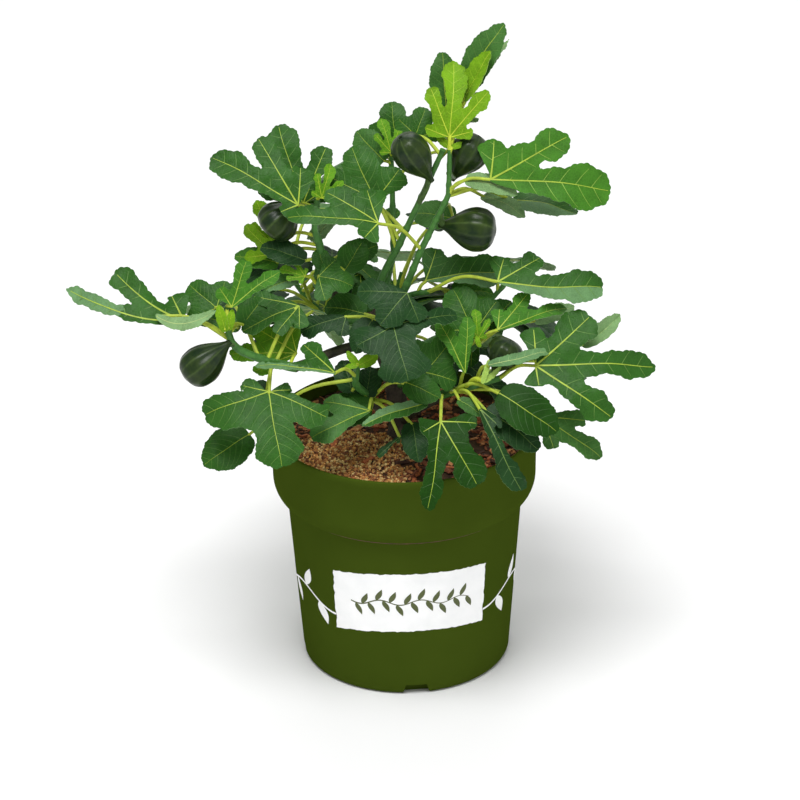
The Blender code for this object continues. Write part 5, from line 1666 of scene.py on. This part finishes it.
# Olive sprig printed on the label
SPRIG_STEPS = 90
SPRIG_LINE_HALF = 0.7 * MM
SPRIG_THINNING = 0.5
SPRIG_SAG_SHARE = 0.55
SPRIG_WAVES = 3
SPRIG_FIRST_LEAF = 0.7
SPRIG_PROUD = 0.45 * MM
SPRIG_HALF = math.radians(31)
SPRIG_HEIGHT = 100 * MM
SPRIG_WAVE = 2.5 * MM
SPRIG_LEAVES = 17
SPRIG_LEAF = (12 * MM, 2.7 * MM)

# White vine printed on the wall round the pot, and the colours of label and prints
VINE_STEPS = 210
VINE_HEIGHT = 76 * MM
VINE_HALF = 1.0 * MM
VINE_WAVE = 7 * MM
VINE_WAVES = 5
VINE_LEAVES = 21
VINE_FIRST_LEAF = 0.9
VINE_LAST_GAP = 0.8
VINE_LEAF = (21 * MM, 6 * MM)
LABEL_WHITE = (0.96, 0.97, 0.97)
PRINT_OLIVE = (0.075, 0.095, 0.020)
PRINT_WHITE = (0.90, 0.91, 0.90)

# A printed leaf: its points along it, its fullest place, its blunt ends and its lean
PRINT_LEAF_STEPS = 12
PRINT_LEAF_FULLNESS = 0.8
PRINT_LEAF_END = 0.05 * MM
PRINT_LEAF_LEAN = 0.45


def wall_radius(height):
    """The radius of the pot's plain wall at a height."""
    share = (height - BASE_ROUNDING) / (STEP_HEIGHT - STEP_SLOPE - BASE_ROUNDING)
    return BASE_RADIUS + (STEP_RADIUS - BASE_RADIUS) * share


def on_wall(turn, height, proud):
    """The point on the pot's wall at a turn from the front and a height, standing proud."""
    radius = wall_radius(height) + proud
    return (math.sin(turn) * radius, -math.cos(turn) * radius, height)


def tears(rng, count):
    """How far an edge is torn at each of its points, as shares."""
    return [rng.uniform(-1, 1) for _ in range(count + 1)]


def make_label():
    """A plain white label with torn edges."""
    rng = random.Random(LABEL_SEED)
    columns, rows = LABEL_GRID
    low_tear = tears(rng, columns)
    high_tear = tears(rng, columns)
    side_tear = [tears(rng, rows), tears(rng, rows)]
    points = []
    for proud in (LABEL_PROUD, LABEL_BACK):
        for row in range(rows + 1):
            for column in range(columns + 1):
                across = 2 * column / columns - 1
                sag = LABEL_SAG * across**2 - LABEL_TILT * across
                low = LABEL_LOW - sag + LABEL_TEAR * low_tear[column]
                high = LABEL_HIGH - sag + LABEL_TEAR * high_tear[column]
                height = low + (high - low) * row / rows
                tear = SIDE_TEAR * side_tear[int(across > 0)][row] * abs(across) ** SIDE_TEAR_POWER
                turn = LABEL_TURN + LABEL_HALF * across + tear / wall_radius(height)
                points.append(on_wall(turn, height, proud))
    shape = Shape()
    shape.add(points, grid_sheet(columns, rows), 0)
    white = print_material("label_white", LABEL_WHITE)
    finish_piece(shape.make("plain_label", [white], PRINT_SHARP), "pot")


def make_sprig():
    """An olive sprig of plain leaves, printed on the label."""
    middle = []
    halves = []
    for step in range(SPRIG_STEPS + 1):
        share = step / SPRIG_STEPS
        across = 2 * share - 1
        rise = math.sin(SPRIG_WAVES * math.pi * across) * SPRIG_WAVE
        height = SPRIG_HEIGHT + rise - SPRIG_SAG_SHARE * LABEL_SAG * across**2
        middle.append((LABEL_TURN + SPRIG_HALF * across, height))
        halves.append(SPRIG_LINE_HALF * (1 - SPRIG_THINNING * share))
    spacing = SPRIG_STEPS / SPRIG_LEAVES
    places = [middle[round((index + SPRIG_FIRST_LEAF) * spacing)] for index in range(SPRIG_LEAVES)]
    olive = print_material("print_olive", PRINT_OLIVE)
    make_print("sprig_print", (middle, halves), (places, SPRIG_LEAF), SPRIG_PROUD, olive)


def make_vine():
    """A thin white vine round the pot from the label's sides, with plain pointed leaves."""
    start = LABEL_TURN + LABEL_HALF
    end = LABEL_TURN - LABEL_HALF + math.tau
    middle = []
    for step in range(VINE_STEPS + 1):
        turn = start + (end - start) * step / VINE_STEPS
        rise = 1 - math.cos(VINE_WAVES * math.tau * step / VINE_STEPS)
        middle.append((turn, VINE_HEIGHT + rise * VINE_WAVE))
    spacing = VINE_STEPS / (VINE_LEAVES + VINE_LAST_GAP)
    places = [middle[round((index + VINE_FIRST_LEAF) * spacing)] for index in range(VINE_LEAVES)]
    halves = [VINE_HALF] * len(middle)
    white = print_material("print_white", PRINT_WHITE)
    make_print("vine_print", (middle, halves), (places, VINE_LEAF), LABEL_PROUD, white)


def make_print(name, line, leaves, proud, look):
    """Print a line on the wall, with leaves to both sides of it, as one piece."""
    shape = Shape()
    add_ribbon(shape, *line, proud)
    places, size = leaves
    for index, place in enumerate(places):
        add_print_leaf(shape, place, 1 if index % 2 else -1, size, proud)
    finish_piece(shape.make(name, [look], PRINT_SHARP), "pot")


def print_material(name, colour):
    """Satin print, a little uneven."""
    made, tree, shader = material(name, colour, roughness=0.5)
    mottle(tree, shader, shade(colour, 0.96), shade(colour, 1.04), scale=60)
    return made


def grid_sheet(columns, rows):
    """The faces of a thin sheet with two sides of a grid of points, and its edges."""
    across = columns + 1
    count = across * (rows + 1)
    faces = []
    for row in range(rows):
        for column in range(columns):
            a = row * across + column
            quad = (a, a + 1, a + 1 + across, a + across)
            faces.append(quad)
            faces.append([index + count for index in quad[::-1]])
    border = [*range(columns)]
    border += [row * across + columns for row in range(rows)]
    border += [rows * across + column for column in range(columns, 0, -1)]
    border += [row * across for row in range(rows, 0, -1)]
    for index, corner in enumerate(border):
        after = border[(index + 1) % len(border)]
        faces.append((corner, corner + count, after + count, after))
    return faces


def add_ribbon(shape, middle, halves, proud):
    """Add a thin ribbon on the wall along points of (turn, height) with its half widths."""
    points = []
    for (turn, height), half in zip(middle, halves):
        for side in (-1, 0, 1):
            out = proud * (1 - EDGE_SINK * abs(side))
            points.append(on_wall(turn, height + side * half, out))
    shape.add(points, strip_faces(len(middle)), 0)


def add_print_leaf(shape, place, side, size, proud):
    """Add one pointed leaf that rises or falls from a printed line."""
    turn, height = place
    length, half_width = size
    points = []
    for step in range(PRINT_LEAF_STEPS + 1):
        share = step / PRINT_LEAF_STEPS
        out = length * share
        half = half_width * math.sin(math.pi * share**PRINT_LEAF_FULLNESS) + PRINT_LEAF_END
        rise = height + side * out
        for edge in (-1, 0, 1):
            spot = turn + (PRINT_LEAF_LEAN * out + edge * half) / wall_radius(rise)
            points.append(on_wall(spot, rise, proud * (1 - EDGE_SINK * abs(edge))))
    faces = strip_faces(PRINT_LEAF_STEPS + 1)
    if side > 0:
        faces = [face[::-1] for face in faces]
    shape.add(points, faces, 0)


# Chips and grains on the soil: lengths in mm, widths and depths as shares of the length, tilts in
# degrees
SOIL_SEED = 11
WALL_CLEAR = 7 * MM
TRUNK_CLEAR = 13 * MM
CHIP_TRIES = 1500
CHIP_SIZE = (5, 17)
CHIP_SHORTENING = (0.5, 1)
CHIP_WIDTH = (0.12, 0.28)
CHIP_DEPTH = (0.06, 0.12)
CHIP_RISE = (-1, 2.2)
CHIP_TILT = 28
CHIPS_IN_FIELD = 0.08
GRAIN_TRIES = 16000
GRAIN_SIZE = (0.7, 1.6)
GRAIN_WIDTH = (0.7, 1)
GRAIN_DEPTH = (0.6, 0.9)
GRAIN_RISE = (-0.5, 2)
GRAIN_TILT = 90
LUMP_CORNERS = 4
LUMP_CORNER = (0.65, 1)
LUMP_SHIFT = (-0.3, 0.3)
LUMP_BULGE = (0.9, 1.25)
LUMP_SHARP = 30

# The patch of golden grains: its sides in mm as (low x, high x, low y, high y), and its ragged
# border
GRAIN_FIELD = (-100, 2, -100, 4)
BORDER_FINENESS = 60
BORDER_RAGGED = 14 * MM
CHIP_TINTS = (
    (0.430, 0.120, 0.040),
    (0.210, 0.060, 0.024),
    (0.580, 0.240, 0.095),
    (0.070, 0.028, 0.016),
)
GRAIN_TINTS = (
    (0.640, 0.310, 0.090),
    (0.420, 0.170, 0.050),
    (0.860, 0.540, 0.220),
    (0.200, 0.070, 0.026),
)


def soil_height(radius):
    """The soil's height at a distance from the pot's axis."""
    edge = RIM_RADIUS - WALL
    share = max(0, (radius - SOIL_FLAT_RADIUS) / (edge - SOIL_FLAT_RADIUS))
    return SOIL_TOP + (SOIL_EDGE - SOIL_TOP) * share


def soil_spot(rng):
    """A place on the soil, clear of the pot's wall and the trunk's foot."""
    while True:
        radius = (RIM_RADIUS - WALL_CLEAR) * math.sqrt(rng.random())
        turn = rng.uniform(0, math.tau)
        x, y = radius * math.cos(turn), radius * math.sin(turn)
        if (Vector((x, y, 0)) - TRUNK_FOOT).length > TRUNK_CLEAR:
            return Vector((x, y, soil_height(radius)))


def in_grain_field(spot):
    """Whether a place lies in the patch of coarse golden grains, with a ragged border."""
    low_x, high_x, low_y, high_y = (value * MM for value in GRAIN_FIELD)
    ragged = noise.noise(spot * BORDER_FINENESS) * BORDER_RAGGED
    return low_x + ragged < spot.x < high_x + ragged and low_y < spot.y < high_y + ragged


def add_lump(shape, place, size, turn, rng, slot):
    """Add a small irregular lump: low and high corners, and a bulge under and over them."""
    points = []
    for z in (-1, 1):
        for x, y in ((-1, -1), (1, -1), (1, 1), (-1, 1)):
            shaken = [value * rng.uniform(*LUMP_CORNER) for value in (x, y, z)]
            points.append(place + turn @ Vector((a * b for a, b in zip(shaken, size))))
    for z in (-1, 1):
        shift = [rng.uniform(*LUMP_SHIFT), rng.uniform(*LUMP_SHIFT)]
        bulge = [*shift, z * rng.uniform(*LUMP_BULGE)]
        points.append(place + turn @ Vector((a * b for a, b in zip(bulge, size))))
    faces = ring_faces(2, LUMP_CORNERS)
    under, over = 2 * LUMP_CORNERS, 2 * LUMP_CORNERS + 1
    for low in range(LUMP_CORNERS):
        after = (low + 1) % LUMP_CORNERS
        faces.append((after, low, under))
        faces.append((low + LUMP_CORNERS, after + LUMP_CORNERS, over))
    shape.add(points, faces, slot)


def random_turn(rng, tilt):
    """A turn about the vertical with a limited tilt."""
    spin = Matrix.Rotation(rng.uniform(0, math.tau), 3, "Z")
    lean = Matrix.Rotation(math.radians(rng.uniform(-tilt, tilt)), 3, "X")
    roll = Matrix.Rotation(math.radians(rng.uniform(-tilt, tilt)), 3, "Y")
    return spin @ lean @ roll


def make_chips(rng):
    """Bark chips on the soil, only a few of them on the golden grains."""
    chips = Shape()
    for _ in range(CHIP_TRIES):
        spot = soil_spot(rng)
        length = rng.uniform(*CHIP_SIZE) * rng.uniform(*CHIP_SHORTENING) * MM
        size = (length / 2, length * rng.uniform(*CHIP_WIDTH), length * rng.uniform(*CHIP_DEPTH))
        spot.z += rng.uniform(*CHIP_RISE) * MM
        if not in_grain_field(spot) or rng.random() < CHIPS_IN_FIELD:
            turn = random_turn(rng, CHIP_TILT)
            add_lump(chips, spot, size, turn, rng, rng.randrange(len(CHIP_TINTS)))
    return chips


def make_grains(rng):
    """Coarse golden grains on their patch of the soil."""
    grains = Shape()
    for _ in range(GRAIN_TRIES):
        spot = soil_spot(rng)
        length = rng.uniform(*GRAIN_SIZE) * MM
        spot.z += rng.uniform(*GRAIN_RISE) * MM
        if in_grain_field(spot):
            size = (length, length * rng.uniform(*GRAIN_WIDTH), length * rng.uniform(*GRAIN_DEPTH))
            turn = random_turn(rng, GRAIN_TILT)
            add_lump(grains, spot, size, turn, rng, rng.randrange(len(GRAIN_TINTS)))
    return grains


def make_soil():
    """Bark chips and golden grains on the soil, which keeps its own solid."""
    rng = random.Random(SOIL_SEED)
    chips = make_chips(rng)
    grains = make_grains(rng)
    chip_looks = [crumb_material(f"chip_{index}", tint) for index, tint in enumerate(CHIP_TINTS)]
    grain_looks = [crumb_material(f"grain_{index}", tint) for index, tint in enumerate(GRAIN_TINTS)]
    finish_piece(chips.make("bark_chips", chip_looks, LUMP_SHARP), "soil")
    finish_piece(grains.make("soil_grains", grain_looks, LUMP_SHARP), "soil")
    ground = bark_material(*DARK_SOIL)
    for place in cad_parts["soil"].material_slots:
        place.material = ground


def crumb_material(name, colour):
    """A chip's or a grain's surface, rough and uneven."""
    made, tree, shader = material(name, colour, roughness=0.9)
    grain = noise_pattern(tree, scale=420, detail=4, roughness=0.6)
    ground = mix_colours(tree, grain, shade(colour, 0.55), shade(colour, 1.35))
    tree.links.new(ground, shader.inputs["Base Color"])
    bump(tree, shader, grain, strength=0.4, distance=0.6 * MM)
    return made


# Soft square lights that look at the plant's middle, as (place, size, power), and the pale
# surroundings
LIGHTS = {
    "key": ((-0.4, -1.6, 4.6), 2.2, 188),
    "behind": ((0, 2.8, 4.0), 2.4, 65),
    "fill": ((1.8, -1.6, 1.2), 1.6, 6),
}
LIT_POINT = Vector((0, 0, 0.3))
WORLD_LIGHT = 0.54
FLOOR_SIZE = 60
FLOOR_COLOUR = (0.80, 0.80, 0.80)


def make_stage():
    """The pale floor, the soft white world and the soft lights."""
    bpy.ops.mesh.primitive_plane_add(size=FLOOR_SIZE)
    floor = bpy.context.object
    floor.name = "floor"
    pale, *_ = material("floor_pale", FLOOR_COLOUR, roughness=0.8)
    floor.data.materials.append(pale)
    world = bpy.data.worlds.new("soft")
    bpy.context.scene.world = world
    world.use_nodes = True
    back = world.node_tree.nodes["Background"]
    back.inputs["Color"].default_value = (1, 1, 1, 1)
    back.inputs["Strength"].default_value = WORLD_LIGHT
    for name, (place, size, power) in LIGHTS.items():
        light = bpy.data.lights.new(name, "AREA")
        light.size = size
        light.energy = power
        lamp = bpy.data.objects.new(name, light)
        lamp.location = place
        lamp.rotation_euler = (LIT_POINT - Vector(place)).to_track_quat("-Z", "Y").to_euler()
        bpy.context.scene.collection.objects.link(lamp)
    bpy.context.scene.view_settings.view_transform = "Standard"


def make_camera():
    """The camera at the front view."""
    camera = bpy.data.cameras.new("camera")
    camera.lens = VIEW_LENS
    camera.sensor_width = VIEW_SENSOR
    thing = bpy.data.objects.new("camera", camera)
    look = (-TO_EYE).to_track_quat("-Z", "Y").to_matrix().to_4x4()
    roll = Matrix.Rotation(-VIEW_ROLL, 4, "Z")
    thing.matrix_world = Matrix.Translation(EYE * MM) @ look @ roll
    bpy.context.scene.collection.objects.link(thing)
    bpy.context.scene.camera = thing


make_pot()
make_label()
make_sprig()
make_vine()
make_soil()
make_trunk()
make_shoots()
make_figs()
make_foliage()
make_stage()
make_camera()
